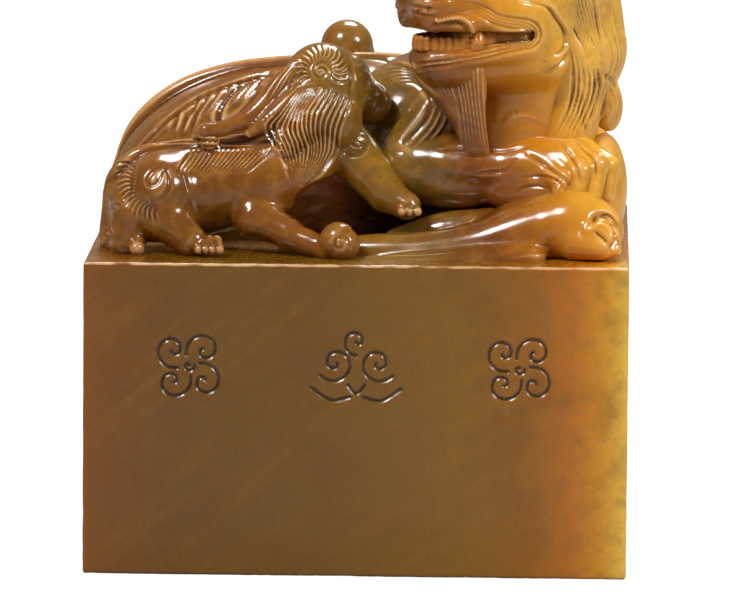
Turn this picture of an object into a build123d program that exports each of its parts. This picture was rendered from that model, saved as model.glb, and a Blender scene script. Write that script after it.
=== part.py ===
"""A seal stamp carved from one stone: a square block with a lioness and two cubs on top.

All lengths are millimetres. The origin is the middle of the stamping face, +Z up,
and the front face of the block looks along -Y. The figures are made of balls and of
tapered runs with ball ends. A smaller form is cut back to the face of the larger form
that it grows out of, so the carving comes apart into its forms without any overlap.
"""
from build123d import *
from math import asin, degrees
import os

os.makedirs("parts", exist_ok=True)

# Block
block_width = 50.0
block_depth = 50.0
block_height = 28.9
block_corner_radius = 0.45
block_arris = 0.2

# Stamping face, cut with a plain border line and four square spiral frets
border_inset = 2.2
groove_width = 0.9
groove_depth = 0.8
fret_pitch = 2.4
fret_legs = 16

# Group of figures
knob_height = 30.6

# Lioness, each form by its length
torso_length = 33.0
rump_length = 21.6
far_haunch_length = 15.0
far_hind_paw_length = 7.0
spine_length = 15.6
tail_length = 13.0
tail_tuft_length = 8.0
shoulder_length = 16.0
chest_length = 19.0
far_shoulder_length = 18.0
far_forepaw_length = 9.0
neck_length = 15.0
foreleg_length = 17.0
forepaw_length = 8.4
toe_size = 2.3
hind_leg_length = 30.0
hind_paw_length = 8.0

# Lioness's head, which is turned back over her shoulder
head_length = 14.4
head_turn = 210.0
muzzle_length = 9.2
jaw_length = 12.8
teeth_width = 6.6
nose_width = 5.2
eye_size = 2.9
brow_length = 5.4
ear_length = 5.8
crown_length = 9.6
mane_length = 16.6
mane_curl_size = 4.4
beard_length = 10.0

# Near cub, which climbs towards the lioness's chin
cub_body_length = 19.0
cub_haunch_length = 9.6
cub_spine_length = 12.0
cub_hind_leg_length = 7.6
cub_hind_paw_length = 4.8
cub_tail_length = 5.0
cub_tuft_size = 2.4
cub_chest_length = 10.4
cub_head_length = 8.6
cub_ear_size = 2.6
cub_lock_length = 10.4
cub_near_foreleg_length = 8.8
cub_near_paw_size = 3.6
cub_far_foreleg_length = 9.6
cub_far_paw_length = 3.8

# Far cub, which climbs down the lioness's other side
far_cub_body_length = 14.0
far_cub_rump_size = 5.4
far_cub_head_length = 7.0
far_cub_ear_size = 2.0
far_cub_foreleg_length = 5.0
far_cub_hind_leg_length = 6.4
far_cub_tail_length = 5.0


def over_block(place_shares):
    """Place over the block's top, in shares of its width and depth and of the knob's height."""
    across, back, up = place_shares
    return Location((across * block_width, back * block_depth, block_height + up * knob_height))


def beside(carrier, length, place_shares):
    """Place on a form: from its middle, in shares of its length."""
    return carrier * Location(tuple(length * share for share in place_shares))


def other_side(place_shares):
    """The same place on the other side of a form."""
    along, side, up = place_shares
    return (along, -side, up)


def ball(middle, size):
    """Joins a ball of this size to the form being built."""
    with Locations(middle):
        Sphere(size / 2)


def run(middle, length, end_shares):
    """Joins a tapered run with ball ends, each end's place and radius in shares of the form's length."""
    (*start_shares, start_radius_share), (*stop_shares, stop_radius_share) = end_shares
    start = beside(middle, length, start_shares).position
    reach = beside(middle, length, stop_shares).position - start
    start_radius = length * start_radius_share
    stop_radius = length * stop_radius_share
    lean = degrees(asin((start_radius - stop_radius) / reach.length))
    upright = Plane(origin=start, x_dir=reach, z_dir=reach.cross(Vector(0, 0, 1)))
    with BuildSketch(upright) as profile:
        with BuildLine():
            back = CenterArc((0, 0), start_radius, 90 - lean, 90 + lean)
            front = CenterArc((reach.length, 0), stop_radius, 0, 90 - lean)
            Line(back @ 0, front @ 1)
            Line(back @ 1, front @ 0)
        make_face()
    revolve(profile.sketch, axis=Axis(start, reach))


def keep_clear_of(*neighbours):
    """Ends the form being built at the block's top and at the faces of its neighbours."""
    split(bisect_by=Plane.XY.offset(block_height), keep=Keep.TOP)
    for neighbour in neighbours:
        add(neighbour.part, mode=Mode.SUBTRACT)


def finish(name, form, pieces=1):
    """Names a form and writes it, without the crumbs that a neighbour's face may have cut off."""
    solids = form.part.solids().sort_by(SortBy.VOLUME)[-pieces:]
    form.part = Part(Compound(solids).wrapped)
    form.part.label = name
    export_step(form.part, f"parts/{name}.step")


# Block with its stamping face
fret_reach = fret_pitch * fret_legs / 4
fret_offset = fret_reach + fret_pitch / 2
with BuildPart() as seal_block:
    with BuildSketch():
        RectangleRounded(block_width, block_depth, block_corner_radius)
    extrude(amount=block_height)
    chamfer(seal_block.faces().filter_by(Axis.Z).edges(), length=block_arris)
    with BuildSketch():
        Rectangle(block_width - 2 * border_inset, block_depth - 2 * border_inset)
        inner_inset = border_inset + groove_width
        Rectangle(block_width - 2 * inner_inset, block_depth - 2 * inner_inset, mode=Mode.SUBTRACT)
        for column in (-1, 1):
            for row in (-1, 1):
                corner = Vector(column * fret_offset, row * fret_offset)
                step = Vector(column * fret_pitch, 0)
                for leg in range(fret_legs):
                    next_corner = corner + step * (leg // 2 + 1)
                    stride = next_corner - corner
                    with Locations((corner + next_corner) / 2):
                        Rectangle(abs(stride.X) + groove_width, abs(stride.Y) + groove_width)
                    step = step.rotate(Axis.Z, column * row * 90)
                    corner = next_corner
    extrude(amount=groove_depth, mode=Mode.SUBTRACT)
finish("seal_block", seal_block)

# Lioness's torso and hindquarters
torso_place_shares = (-0.08, 0.14, 0.10)
torso_end_shares = ((-0.17, 0.0, -0.01, 0.36), (0.14, 0.02, 0.02, 0.37))
torso_middle = over_block(torso_place_shares)
with BuildPart() as mother_torso:
    run(torso_middle, torso_length, torso_end_shares)
    keep_clear_of()
finish("mother_torso", mother_torso)

rump_place_shares = (-0.297, 0.015, 0.0)
rump_end_shares = ((-0.02, -0.14, -0.03, 0.47), (0.0, 0.16, 0.0, 0.45))
rump_middle = beside(torso_middle, torso_length, rump_place_shares)
with BuildPart() as mother_rump:
    run(rump_middle, rump_length, rump_end_shares)
    keep_clear_of(mother_torso)
finish("mother_rump", mother_rump)

far_haunch_place_shares = (0.06, 0.42, 0.05)
far_haunch_end_shares = ((-0.14, 0.0, 0.02, 0.32), (0.22, 0.04, -0.10, 0.27))
far_haunch_middle = beside(rump_middle, rump_length, far_haunch_place_shares)
with BuildPart() as mother_far_haunch:
    run(far_haunch_middle, far_haunch_length, far_haunch_end_shares)
    keep_clear_of(mother_torso, mother_rump)
finish("mother_far_haunch", mother_far_haunch)

far_hind_paw_place_shares = (0.42, 0.24, -0.20)
far_hind_paw_end_shares = ((-0.20, 0.0, 0.0, 0.26), (0.22, 0.02, -0.02, 0.25))
far_hind_paw_middle = beside(far_haunch_middle, far_haunch_length, far_hind_paw_place_shares)
with BuildPart() as mother_far_hind_paw:
    run(far_hind_paw_middle, far_hind_paw_length, far_hind_paw_end_shares)
    keep_clear_of(mother_torso, mother_far_haunch)
finish("mother_far_hind_paw", mother_far_hind_paw)

spine_place_shares = (-0.11, 0.04, 0.345)
spine_end_shares = ((-0.42, 0.0, -0.08, 0.08), (0.42, 0.02, 0.06, 0.08))
spine_middle = beside(torso_middle, torso_length, spine_place_shares)
with BuildPart() as mother_spine:
    run(spine_middle, spine_length, spine_end_shares)
    keep_clear_of(mother_torso, mother_rump)
finish("mother_spine", mother_spine)

tail_place_shares = (-0.13, 0.50, 0.26)
tail_end_shares = ((-0.28, -0.08, -0.22, 0.17), (0.26, 0.06, 0.20, 0.155))
tail_middle = beside(rump_middle, rump_length, tail_place_shares)
with BuildPart() as mother_tail:
    run(tail_middle, tail_length, tail_end_shares)
    keep_clear_of(mother_torso, mother_rump, mother_far_haunch, mother_spine)
finish("mother_tail", mother_tail)

tail_tuft_place_shares = (0.44, -0.06, 0.30)
tail_tuft_end_shares = ((-0.26, 0.06, -0.16, 0.27), (0.20, -0.12, 0.05, 0.23))
tail_tuft_middle = beside(tail_middle, tail_length, tail_tuft_place_shares)
with BuildPart() as mother_tail_tuft:
    run(tail_tuft_middle, tail_tuft_length, tail_tuft_end_shares)
    keep_clear_of(mother_torso, mother_rump, mother_spine, mother_tail)
finish("mother_tail_tuft", mother_tail_tuft)

# Lioness's shoulders, chest and neck
shoulder_place_shares = (0.245, -0.26, 0.17)
shoulder_end_shares = ((-0.05, 0.02, -0.08, 0.44), (0.06, -0.02, 0.08, 0.45))
shoulder_middle = beside(torso_middle, torso_length, shoulder_place_shares)
with BuildPart() as mother_shoulder:
    run(shoulder_middle, shoulder_length, shoulder_end_shares)
    keep_clear_of(mother_torso)
finish("mother_shoulder", mother_shoulder)

chest_place_shares = (0.53, -0.22, 0.12)
chest_end_shares = ((-0.12, 0.05, -0.04, 0.46), (0.06, -0.05, 0.03, 0.45))
chest_middle = beside(torso_middle, torso_length, chest_place_shares)
with BuildPart() as mother_chest:
    run(chest_middle, chest_length, chest_end_shares)
    keep_clear_of(mother_torso, mother_shoulder)
finish("mother_chest", mother_chest)

far_shoulder_place_shares = (0.48, 0.11, 0.10)
far_shoulder_end_shares = ((-0.12, 0.02, -0.04, 0.43), (0.10, -0.02, 0.02, 0.42))
far_shoulder_middle = beside(torso_middle, torso_length, far_shoulder_place_shares)
with BuildPart() as mother_far_shoulder:
    run(far_shoulder_middle, far_shoulder_length, far_shoulder_end_shares)
    keep_clear_of(mother_torso, mother_shoulder, mother_chest)
finish("mother_far_shoulder", mother_far_shoulder)

far_forepaw_place_shares = (0.45, 0.10, -0.26)
far_forepaw_end_shares = ((-0.24, 0.0, 0.0, 0.23), (0.16, 0.01, -0.01, 0.25))
far_toe_place_shares = (0.34, 0.17, -0.06)
far_forepaw_middle = beside(far_shoulder_middle, far_shoulder_length, far_forepaw_place_shares)
with BuildPart() as mother_far_forepaw:
    run(far_forepaw_middle, far_forepaw_length, far_forepaw_end_shares)
    for toe_share in (-far_toe_place_shares[1], 0, far_toe_place_shares[1]):
        toe_place_shares = (far_toe_place_shares[0], toe_share, far_toe_place_shares[2])
        ball(beside(far_forepaw_middle, far_forepaw_length, toe_place_shares), toe_size)
    keep_clear_of(mother_chest, mother_far_shoulder)
finish("mother_far_forepaw", mother_far_forepaw)

neck_place_shares = (0.05, -0.26, 0.34)
neck_end_shares = ((-0.06, 0.06, -0.10, 0.47), (0.02, -0.06, 0.10, 0.455))
neck_middle = beside(chest_middle, chest_length, neck_place_shares)
with BuildPart() as mother_neck:
    run(neck_middle, neck_length, neck_end_shares)
    keep_clear_of(mother_torso, mother_shoulder, mother_chest, mother_far_shoulder)
finish("mother_neck", mother_neck)

# Lioness's near hind leg, which reaches along the front edge
hind_leg_place_shares = (0.303, -0.72, -0.06)
hind_leg_end_shares = ((-0.33, 0.01, -0.025, 0.04), (0.34, -0.01, 0.045, 0.115))
hind_leg_middle = beside(torso_middle, torso_length, hind_leg_place_shares)
with BuildPart() as mother_hind_leg:
    run(hind_leg_middle, hind_leg_length, hind_leg_end_shares)
    keep_clear_of(mother_torso, mother_shoulder, mother_chest)
finish("mother_hind_leg", mother_hind_leg)

hind_paw_place_shares = (0.49, -0.055, 0.055)
hind_paw_end_shares = ((-0.12, 0.02, 0.02, 0.37), (0.14, -0.02, -0.03, 0.34))
hind_toe_place_shares = (0.36, 0.24, -0.15)
hind_paw_middle = beside(hind_leg_middle, hind_leg_length, hind_paw_place_shares)
with BuildPart() as mother_hind_paw:
    run(hind_paw_middle, hind_paw_length, hind_paw_end_shares)
    for toe_share in (-hind_toe_place_shares[1], 0, hind_toe_place_shares[1]):
        toe_place_shares = (hind_toe_place_shares[0], toe_share, hind_toe_place_shares[2])
        ball(beside(hind_paw_middle, hind_paw_length, toe_place_shares), toe_size)
    keep_clear_of(mother_chest, mother_hind_leg)
finish("mother_hind_paw", mother_hind_paw)

# Lioness's near foreleg, folded over the hind paw
foreleg_place_shares = (-0.14, -0.57, -0.02)
foreleg_end_shares = ((-0.36, 0.08, 0.03, 0.20), (0.34, -0.08, 0.04, 0.165))
foreleg_middle = beside(chest_middle, chest_length, foreleg_place_shares)
with BuildPart() as mother_foreleg:
    run(foreleg_middle, foreleg_length, foreleg_end_shares)
    keep_clear_of(mother_torso, mother_shoulder, mother_chest, mother_neck, mother_hind_leg, mother_hind_paw)
finish("mother_foreleg", mother_foreleg)

forepaw_place_shares = (0.49, -0.17, 0.05)
forepaw_end_shares = ((-0.10, 0.04, 0.02, 0.36), (0.14, -0.02, -0.04, 0.34))
forepaw_toe_place_shares = (0.38, 0.17, -0.10)
forepaw_middle = beside(foreleg_middle, foreleg_length, forepaw_place_shares)
with BuildPart() as mother_forepaw:
    run(forepaw_middle, forepaw_length, forepaw_end_shares)
    for toe in (-3 / 2, -1 / 2, 1 / 2, 3 / 2):
        toe_share = toe * forepaw_toe_place_shares[1]
        toe_place_shares = (forepaw_toe_place_shares[0], toe_share, forepaw_toe_place_shares[2])
        ball(beside(forepaw_middle, forepaw_length, toe_place_shares), toe_size)
    keep_clear_of(mother_chest, mother_neck, mother_hind_leg, mother_hind_paw, mother_foreleg)
finish("mother_forepaw", mother_forepaw)

# Lioness's head; its own +X runs out along the muzzle
head_place_shares = (-0.01, -0.29, 0.57)
skull_end_shares = ((-0.12, 0.0, 0.08, 0.43), (0.10, 0.0, 0.05, 0.40))
cheek_place_shares = (0.10, 0.25, 0.0)
cheek_size_share = 0.48
head_middle = beside(neck_middle, neck_length, head_place_shares) * Rotation(0, 0, head_turn)
with BuildPart() as mother_head:
    run(head_middle, head_length, skull_end_shares)
    for place_shares in (cheek_place_shares, other_side(cheek_place_shares)):
        ball(beside(head_middle, head_length, place_shares), head_length * cheek_size_share)
    keep_clear_of(mother_chest, mother_neck)
finish("mother_head", mother_head)

muzzle_place_shares = (0.43, 0.0, 0.11)
lip_side_share = 0.17
lip_end_shares = ((-0.10, 0.0, 0.06, 0.29), (0.28, 0.0, 0.04, 0.26))
muzzle_middle = beside(head_middle, head_length, muzzle_place_shares)
with BuildPart() as mother_muzzle:
    for side_share in (-lip_side_share, lip_side_share):
        run(beside(muzzle_middle, muzzle_length, (0, side_share, 0)), muzzle_length, lip_end_shares)
    keep_clear_of(mother_head)
finish("mother_muzzle", mother_muzzle)

jaw_place_shares = (0.30, 0.0, -0.25)
jaw_side_share = 0.10
jaw_end_shares = ((-0.30, 0.0, -0.05, 0.21), (0.35, 0.0, -0.04, 0.165))
jaw_middle = beside(head_middle, head_length, jaw_place_shares)
with BuildPart() as mother_lower_jaw:
    for side_share in (-jaw_side_share, jaw_side_share):
        run(beside(jaw_middle, jaw_length, (0, side_share, 0)), jaw_length, jaw_end_shares)
    keep_clear_of(mother_chest, mother_neck, mother_head, mother_muzzle)
finish("mother_lower_jaw", mother_lower_jaw)

teeth_place_shares = (0.32, 0.0, 0.12)
teeth_end_shares = ((0.0, -0.34, 0.0, 0.15), (0.0, 0.34, 0.0, 0.15))
teeth_middle = beside(jaw_middle, jaw_length, teeth_place_shares)
with BuildPart() as mother_teeth:
    run(teeth_middle, teeth_width, teeth_end_shares)
    keep_clear_of(mother_head, mother_muzzle, mother_lower_jaw)
finish("mother_teeth", mother_teeth)

nose_place_shares = (0.31, 0.0, 0.24)
nose_end_shares = ((0.0, -0.22, 0.0, 0.28), (0.0, 0.22, 0.0, 0.28))
nose_middle = beside(muzzle_middle, muzzle_length, nose_place_shares)
with BuildPart() as mother_nose:
    run(nose_middle, nose_width, nose_end_shares)
    keep_clear_of(mother_head, mother_muzzle)
finish("mother_nose", mother_nose)

eye_place_shares = (0.37, 0.19, 0.31)
with BuildPart() as mother_eyes:
    for place_shares in (eye_place_shares, other_side(eye_place_shares)):
        ball(beside(head_middle, head_length, place_shares), eye_size)
    keep_clear_of(mother_head, mother_muzzle, mother_nose)
finish("mother_eyes", mother_eyes, pieces=2)

crown_place_shares = (0.02, 0.0, 0.42)
crown_end_shares = ((-0.10, 0.0, 0.0, 0.33), (0.12, 0.0, -0.03, 0.31))
crown_middle = beside(head_middle, head_length, crown_place_shares)
with BuildPart() as mother_crown:
    run(crown_middle, crown_length, crown_end_shares)
    keep_clear_of(mother_head)
finish("mother_crown", mother_crown)

brow_place_shares = (0.30, 0.21, 0.405)
brow_end_shares = ((0.15, -0.30, -0.04, 0.22), (-0.14, 0.28, 0.02, 0.20))
with BuildPart() as mother_brows:
    for side in (1, -1):
        along_share, side_share, up_share = brow_place_shares
        brow_middle = beside(head_middle, head_length, (along_share, side * side_share, up_share))
        ends_shares = [(along, side * across, up, radius) for along, across, up, radius in brow_end_shares]
        run(brow_middle, brow_length, ends_shares)
    keep_clear_of(mother_head, mother_muzzle, mother_eyes, mother_crown)
finish("mother_brows", mother_brows, pieces=2)

mane_place_shares = (-0.33, 0.0, -0.06)
mane_end_shares = ((-0.02, 0.0, -0.20, 0.35), (0.06, 0.0, 0.14, 0.38))
mane_middle = beside(head_middle, head_length, mane_place_shares)
with BuildPart() as mother_mane:
    run(mane_middle, mane_length, mane_end_shares)
    keep_clear_of(mother_head, mother_neck, mother_crown, mother_chest, mother_lower_jaw)
finish("mother_mane", mother_mane)

ear_place_shares = (-0.06, 0.45, 0.40)
ear_end_shares = ((0.22, -0.16, -0.24, 0.30), (-0.20, 0.10, 0.18, 0.17))
with BuildPart() as mother_ears:
    for side in (1, -1):
        along_share, side_share, up_share = ear_place_shares
        ear_middle = beside(head_middle, head_length, (along_share, side * side_share, up_share))
        ends_shares = [(along, side * across, up, radius) for along, across, up, radius in ear_end_shares]
        run(ear_middle, ear_length, ends_shares)
    keep_clear_of(mother_head)
finish("mother_ears", mother_ears, pieces=2)

near_curl_place_shares = ((-0.02, 0.35, 0.22), (0.01, 0.39, -0.09), (0.0, 0.33, -0.37))
far_curl_place_shares = ((-0.02, -0.36, 0.24), (-0.03, -0.38, -0.05))
mane_curl_place_shares = near_curl_place_shares + far_curl_place_shares
with BuildPart() as mother_mane_curls:
    for place_shares in mane_curl_place_shares:
        ball(beside(mane_middle, mane_length, place_shares), mane_curl_size)
    keep_clear_of(mother_neck, mother_head, mother_mane)
finish("mother_mane_curls", mother_mane_curls, pieces=len(mane_curl_place_shares))

beard_place_shares = (0.14, 0.04, -0.38)
beard_end_shares = ((0.20, -0.02, 0.30, 0.27), (-0.18, 0.02, -0.34, 0.14))
beard_middle = beside(jaw_middle, jaw_length, beard_place_shares)
with BuildPart() as mother_beard:
    run(beard_middle, beard_length, beard_end_shares)
    keep_clear_of(
        mother_shoulder, mother_chest, mother_neck, mother_head, mother_lower_jaw, mother_teeth, mother_foreleg
    )
finish("mother_beard", mother_beard)

# Near cub
cub_place_shares = (-0.258, -0.636, 0.079)
cub_body_end_shares = ((-0.24, 0.0, -0.03, 0.22), (0.24, 0.01, 0.05, 0.215))
cub_middle = beside(torso_middle, torso_length, cub_place_shares)
with BuildPart() as cub_body:
    run(cub_middle, cub_body_length, cub_body_end_shares)
    keep_clear_of(mother_torso, mother_rump, mother_hind_leg)
finish("cub_body", cub_body)

haunch_place_shares = (-0.315, -0.15, -0.05)
haunch_end_shares = ((-0.02, 0.08, -0.12, 0.36), (0.04, 0.0, 0.12, 0.38))
haunch_middle = beside(cub_middle, cub_body_length, haunch_place_shares)
with BuildPart() as cub_haunch:
    run(haunch_middle, cub_haunch_length, haunch_end_shares)
    keep_clear_of(mother_torso, mother_rump, cub_body)
finish("cub_haunch", cub_haunch)

far_shank_place_shares = (-0.37, 0.26, -0.20)
far_shank_end_shares = ((0.02, 0.05, 0.20, 0.27), (0.0, -0.05, -0.20, 0.26))
far_shank_middle = beside(haunch_middle, cub_haunch_length, far_shank_place_shares)
with BuildPart() as cub_far_hind_leg:
    run(far_shank_middle, cub_hind_leg_length, far_shank_end_shares)
    keep_clear_of(mother_torso, mother_rump, cub_body, cub_haunch)
finish("cub_far_hind_leg", cub_far_hind_leg)

near_hind_paw_place_shares = (0.42, -0.20, -0.36)
near_hind_paw_end_shares = ((-0.16, 0.04, 0.02, 0.32), (0.14, -0.04, 0.0, 0.30))
near_hind_paw_middle = beside(haunch_middle, cub_haunch_length, near_hind_paw_place_shares)
with BuildPart() as cub_near_hind_paw:
    run(near_hind_paw_middle, cub_hind_paw_length, near_hind_paw_end_shares)
    keep_clear_of(cub_body, cub_haunch)
finish("cub_near_hind_paw", cub_near_hind_paw)

cub_spine_place_shares = (-0.04, 0.0, 0.215)
cub_spine_end_shares = ((-0.40, 0.02, -0.06, 0.075), (0.40, 0.0, 0.06, 0.075))
cub_spine_middle = beside(cub_middle, cub_body_length, cub_spine_place_shares)
with BuildPart() as cub_spine:
    run(cub_spine_middle, cub_spine_length, cub_spine_end_shares)
    keep_clear_of(mother_torso, mother_rump, cub_body, cub_haunch)
finish("cub_spine", cub_spine)

cub_tail_place_shares = (-0.54, 0.09, -0.06)
cub_tail_end_shares = ((0.14, 0.14, 0.30, 0.22), (-0.06, -0.06, -0.34, 0.19))
cub_tail_middle = beside(cub_middle, cub_body_length, cub_tail_place_shares)
with BuildPart() as cub_tail:
    run(cub_tail_middle, cub_tail_length, cub_tail_end_shares)
    keep_clear_of(mother_torso, mother_rump, cub_body, cub_haunch, cub_far_hind_leg, cub_spine)
finish("cub_tail", cub_tail)

cub_chest_place_shares = (0.42, 0.03, 0.27)
cub_chest_end_shares = ((-0.02, 0.0, -0.20, 0.31), (0.04, 0.02, 0.16, 0.30))
cub_chest_middle = beside(cub_middle, cub_body_length, cub_chest_place_shares)
with BuildPart() as cub_chest:
    run(cub_chest_middle, cub_chest_length, cub_chest_end_shares)
    keep_clear_of(mother_torso, mother_shoulder, cub_body, cub_spine)
finish("cub_chest", cub_chest)

cub_head_place_shares = (0.16, 0.17, 0.46)
cub_skull_end_shares = ((-0.06, 0.0, 0.02, 0.45), (0.04, 0.03, -0.01, 0.44))
cub_snout_end_shares = ((0.12, 0.04, -0.08, 0.31), (0.30, 0.10, -0.20, 0.24))
cub_head_middle = beside(cub_chest_middle, cub_chest_length, cub_head_place_shares)
with BuildPart() as cub_head:
    run(cub_head_middle, cub_head_length, cub_skull_end_shares)
    run(cub_head_middle, cub_head_length, cub_snout_end_shares)
    keep_clear_of(mother_torso, mother_shoulder, cub_body, cub_chest)
finish("cub_head", cub_head)

cub_ear_place_shares = (-0.10, 0.40, 0.16)
with BuildPart() as cub_ears:
    for place_shares in (cub_ear_place_shares, other_side(cub_ear_place_shares)):
        ball(beside(cub_head_middle, cub_head_length, place_shares), cub_ear_size)
    keep_clear_of(mother_torso, mother_shoulder, cub_chest, cub_head)
finish("cub_ears", cub_ears, pieces=2)

cub_lock_place_shares = (-0.74, -0.27, -0.19)
cub_lock_end_shares = ((0.32, 0.09, 0.26, 0.15), (-0.34, -0.08, -0.24, 0.09))
cub_lock_middle = beside(cub_head_middle, cub_head_length, cub_lock_place_shares)
with BuildPart() as cub_swept_lock:
    run(cub_lock_middle, cub_lock_length, cub_lock_end_shares)
    keep_clear_of(mother_torso, mother_shoulder, cub_body, cub_chest, cub_head, cub_spine, cub_ears)
finish("cub_swept_lock", cub_swept_lock)

cub_tuft_place_shares = (-0.09, -0.04, 0.27)
with BuildPart() as cub_tuft:
    ball(beside(cub_middle, cub_body_length, cub_tuft_place_shares), cub_tuft_size)
    keep_clear_of(mother_torso, cub_body, cub_spine, cub_swept_lock)
finish("cub_tuft", cub_tuft)

near_leg_place_shares = (0.37, -0.20, -0.14)
near_leg_end_shares = ((-0.30, 0.12, 0.10, 0.22), (0.28, -0.14, -0.10, 0.16))
near_leg_middle = beside(cub_middle, cub_body_length, near_leg_place_shares)
with BuildPart() as cub_near_foreleg:
    run(near_leg_middle, cub_near_foreleg_length, near_leg_end_shares)
    keep_clear_of(mother_hind_leg, cub_body, cub_chest)
finish("cub_near_foreleg", cub_near_foreleg)

near_paw_place_shares = (0.44, -0.25, -0.16)
with BuildPart() as cub_near_forepaw:
    ball(beside(near_leg_middle, cub_near_foreleg_length, near_paw_place_shares), cub_near_paw_size)
    keep_clear_of(mother_hind_leg, cub_body, cub_near_foreleg)
finish("cub_near_forepaw", cub_near_forepaw)

far_leg_place_shares = (0.56, 0.06, -0.32)
far_leg_end_shares = ((-0.24, 0.10, 0.20, 0.25), (0.20, -0.12, -0.18, 0.15))
far_leg_middle = beside(cub_chest_middle, cub_chest_length, far_leg_place_shares)
with BuildPart() as cub_far_foreleg:
    run(far_leg_middle, cub_far_foreleg_length, far_leg_end_shares)
    keep_clear_of(mother_torso, mother_shoulder, mother_hind_leg, mother_foreleg, cub_body, cub_chest, cub_head)
finish("cub_far_foreleg", cub_far_foreleg)

far_paw_place_shares = (0.30, -0.22, -0.28)
far_paw_end_shares = ((-0.14, 0.02, 0.04, 0.30), (0.20, -0.04, -0.06, 0.28))
far_paw_middle = beside(far_leg_middle, cub_far_foreleg_length, far_paw_place_shares)
with BuildPart() as cub_far_forepaw:
    run(far_paw_middle, cub_far_paw_length, far_paw_end_shares)
    keep_clear_of(mother_torso, mother_shoulder, mother_hind_leg, mother_foreleg, cub_far_foreleg)
finish("cub_far_forepaw", cub_far_forepaw)

# Far cub
far_cub_place_shares = (0.06, 0.29, 0.22)
far_cub_body_end_shares = ((-0.02, -0.19, 0.22, 0.215), (0.10, 0.20, -0.20, 0.225))
far_cub_middle = beside(torso_middle, torso_length, far_cub_place_shares)
with BuildPart() as far_cub_body:
    run(far_cub_middle, far_cub_body_length, far_cub_body_end_shares)
    keep_clear_of(mother_torso, mother_rump, mother_spine, mother_tail_tuft)
finish("far_cub_body", far_cub_body)

far_cub_rump_place_shares = (0.0, -0.27, 0.42)
with BuildPart() as far_cub_rump:
    ball(beside(far_cub_middle, far_cub_body_length, far_cub_rump_place_shares), far_cub_rump_size)
    keep_clear_of(mother_torso, mother_spine, far_cub_body)
finish("far_cub_rump", far_cub_rump)

far_cub_head_place_shares = (0.18, 0.34, -0.45)
far_cub_skull_size_share = 0.92
far_cub_snout_end_shares = ((0.03, 0.08, -0.08, 0.32), (0.10, 0.20, -0.22, 0.25))
far_cub_head_middle = beside(far_cub_middle, far_cub_body_length, far_cub_head_place_shares)
with BuildPart() as far_cub_head:
    ball(far_cub_head_middle, far_cub_head_length * far_cub_skull_size_share)
    run(far_cub_head_middle, far_cub_head_length, far_cub_snout_end_shares)
    keep_clear_of(mother_torso, mother_far_shoulder, far_cub_body)
finish("far_cub_head", far_cub_head)

far_cub_ear_place_shares = (0.38, 0.05, 0.28)
far_cub_far_ear_place_shares = (-0.38, 0.05, 0.28)
with BuildPart() as far_cub_ears:
    for place_shares in (far_cub_ear_place_shares, far_cub_far_ear_place_shares):
        ball(beside(far_cub_head_middle, far_cub_head_length, place_shares), far_cub_ear_size)
    keep_clear_of(mother_torso, mother_far_shoulder, far_cub_body, far_cub_head)
finish("far_cub_ears", far_cub_ears, pieces=2)

far_cub_foreleg_place_shares = (0.54, 0.06, -0.28)
far_cub_foreleg_end_shares = ((0.0, -0.14, 0.24, 0.28), (0.0, 0.12, -0.20, 0.25))
with BuildPart() as far_cub_forelegs:
    for side in (1, -1):
        side_share, back_share, up_share = far_cub_foreleg_place_shares
        leg_middle = beside(far_cub_head_middle, far_cub_head_length, (side * side_share, back_share, up_share))
        run(leg_middle, far_cub_foreleg_length, far_cub_foreleg_end_shares)
    keep_clear_of(mother_torso, mother_far_shoulder, mother_far_hind_paw, far_cub_body, far_cub_head)
finish("far_cub_forelegs", far_cub_forelegs, pieces=2)

far_cub_hind_leg_place_shares = (0.22, -0.06, 0.20)
far_cub_hind_leg_end_shares = ((-0.02, -0.14, 0.14, 0.26), (0.06, 0.16, -0.16, 0.20))
with BuildPart() as far_cub_hind_legs:
    for side in (1, -1):
        side_share, back_share, up_share = far_cub_hind_leg_place_shares
        leg_middle = beside(far_cub_middle, far_cub_body_length, (side * side_share, back_share, up_share))
        ends_shares = [(side * across, back, up, radius) for across, back, up, radius in far_cub_hind_leg_end_shares]
        run(leg_middle, far_cub_hind_leg_length, ends_shares)
    keep_clear_of(mother_torso, mother_spine, mother_tail_tuft, far_cub_body, far_cub_rump)
finish("far_cub_hind_legs", far_cub_hind_legs, pieces=2)

far_cub_tail_place_shares = (0.02, 0.02, 0.40)
far_cub_tail_end_shares = ((0.0, -0.20, 0.12, 0.20), (0.02, 0.22, -0.14, 0.17))
far_cub_tail_middle = beside(far_cub_middle, far_cub_body_length, far_cub_tail_place_shares)
with BuildPart() as far_cub_tail:
    run(far_cub_tail_middle, far_cub_tail_length, far_cub_tail_end_shares)
    keep_clear_of(mother_torso, far_cub_body, far_cub_rump, far_cub_hind_legs)
finish("far_cub_tail", far_cub_tail)
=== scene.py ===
"""Dresses a carved soapstone seal: a polished block with a lioness and two cubs on top.

The figures are sculpted as distance fields in millimetres, meshed, and then cut with a
graver, stroke by stroke, in the way that the real stone was carved.
"""
import itertools
import logging
import math
from dataclasses import dataclass
from enum import Enum
from typing import ClassVar, Sequence

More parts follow.
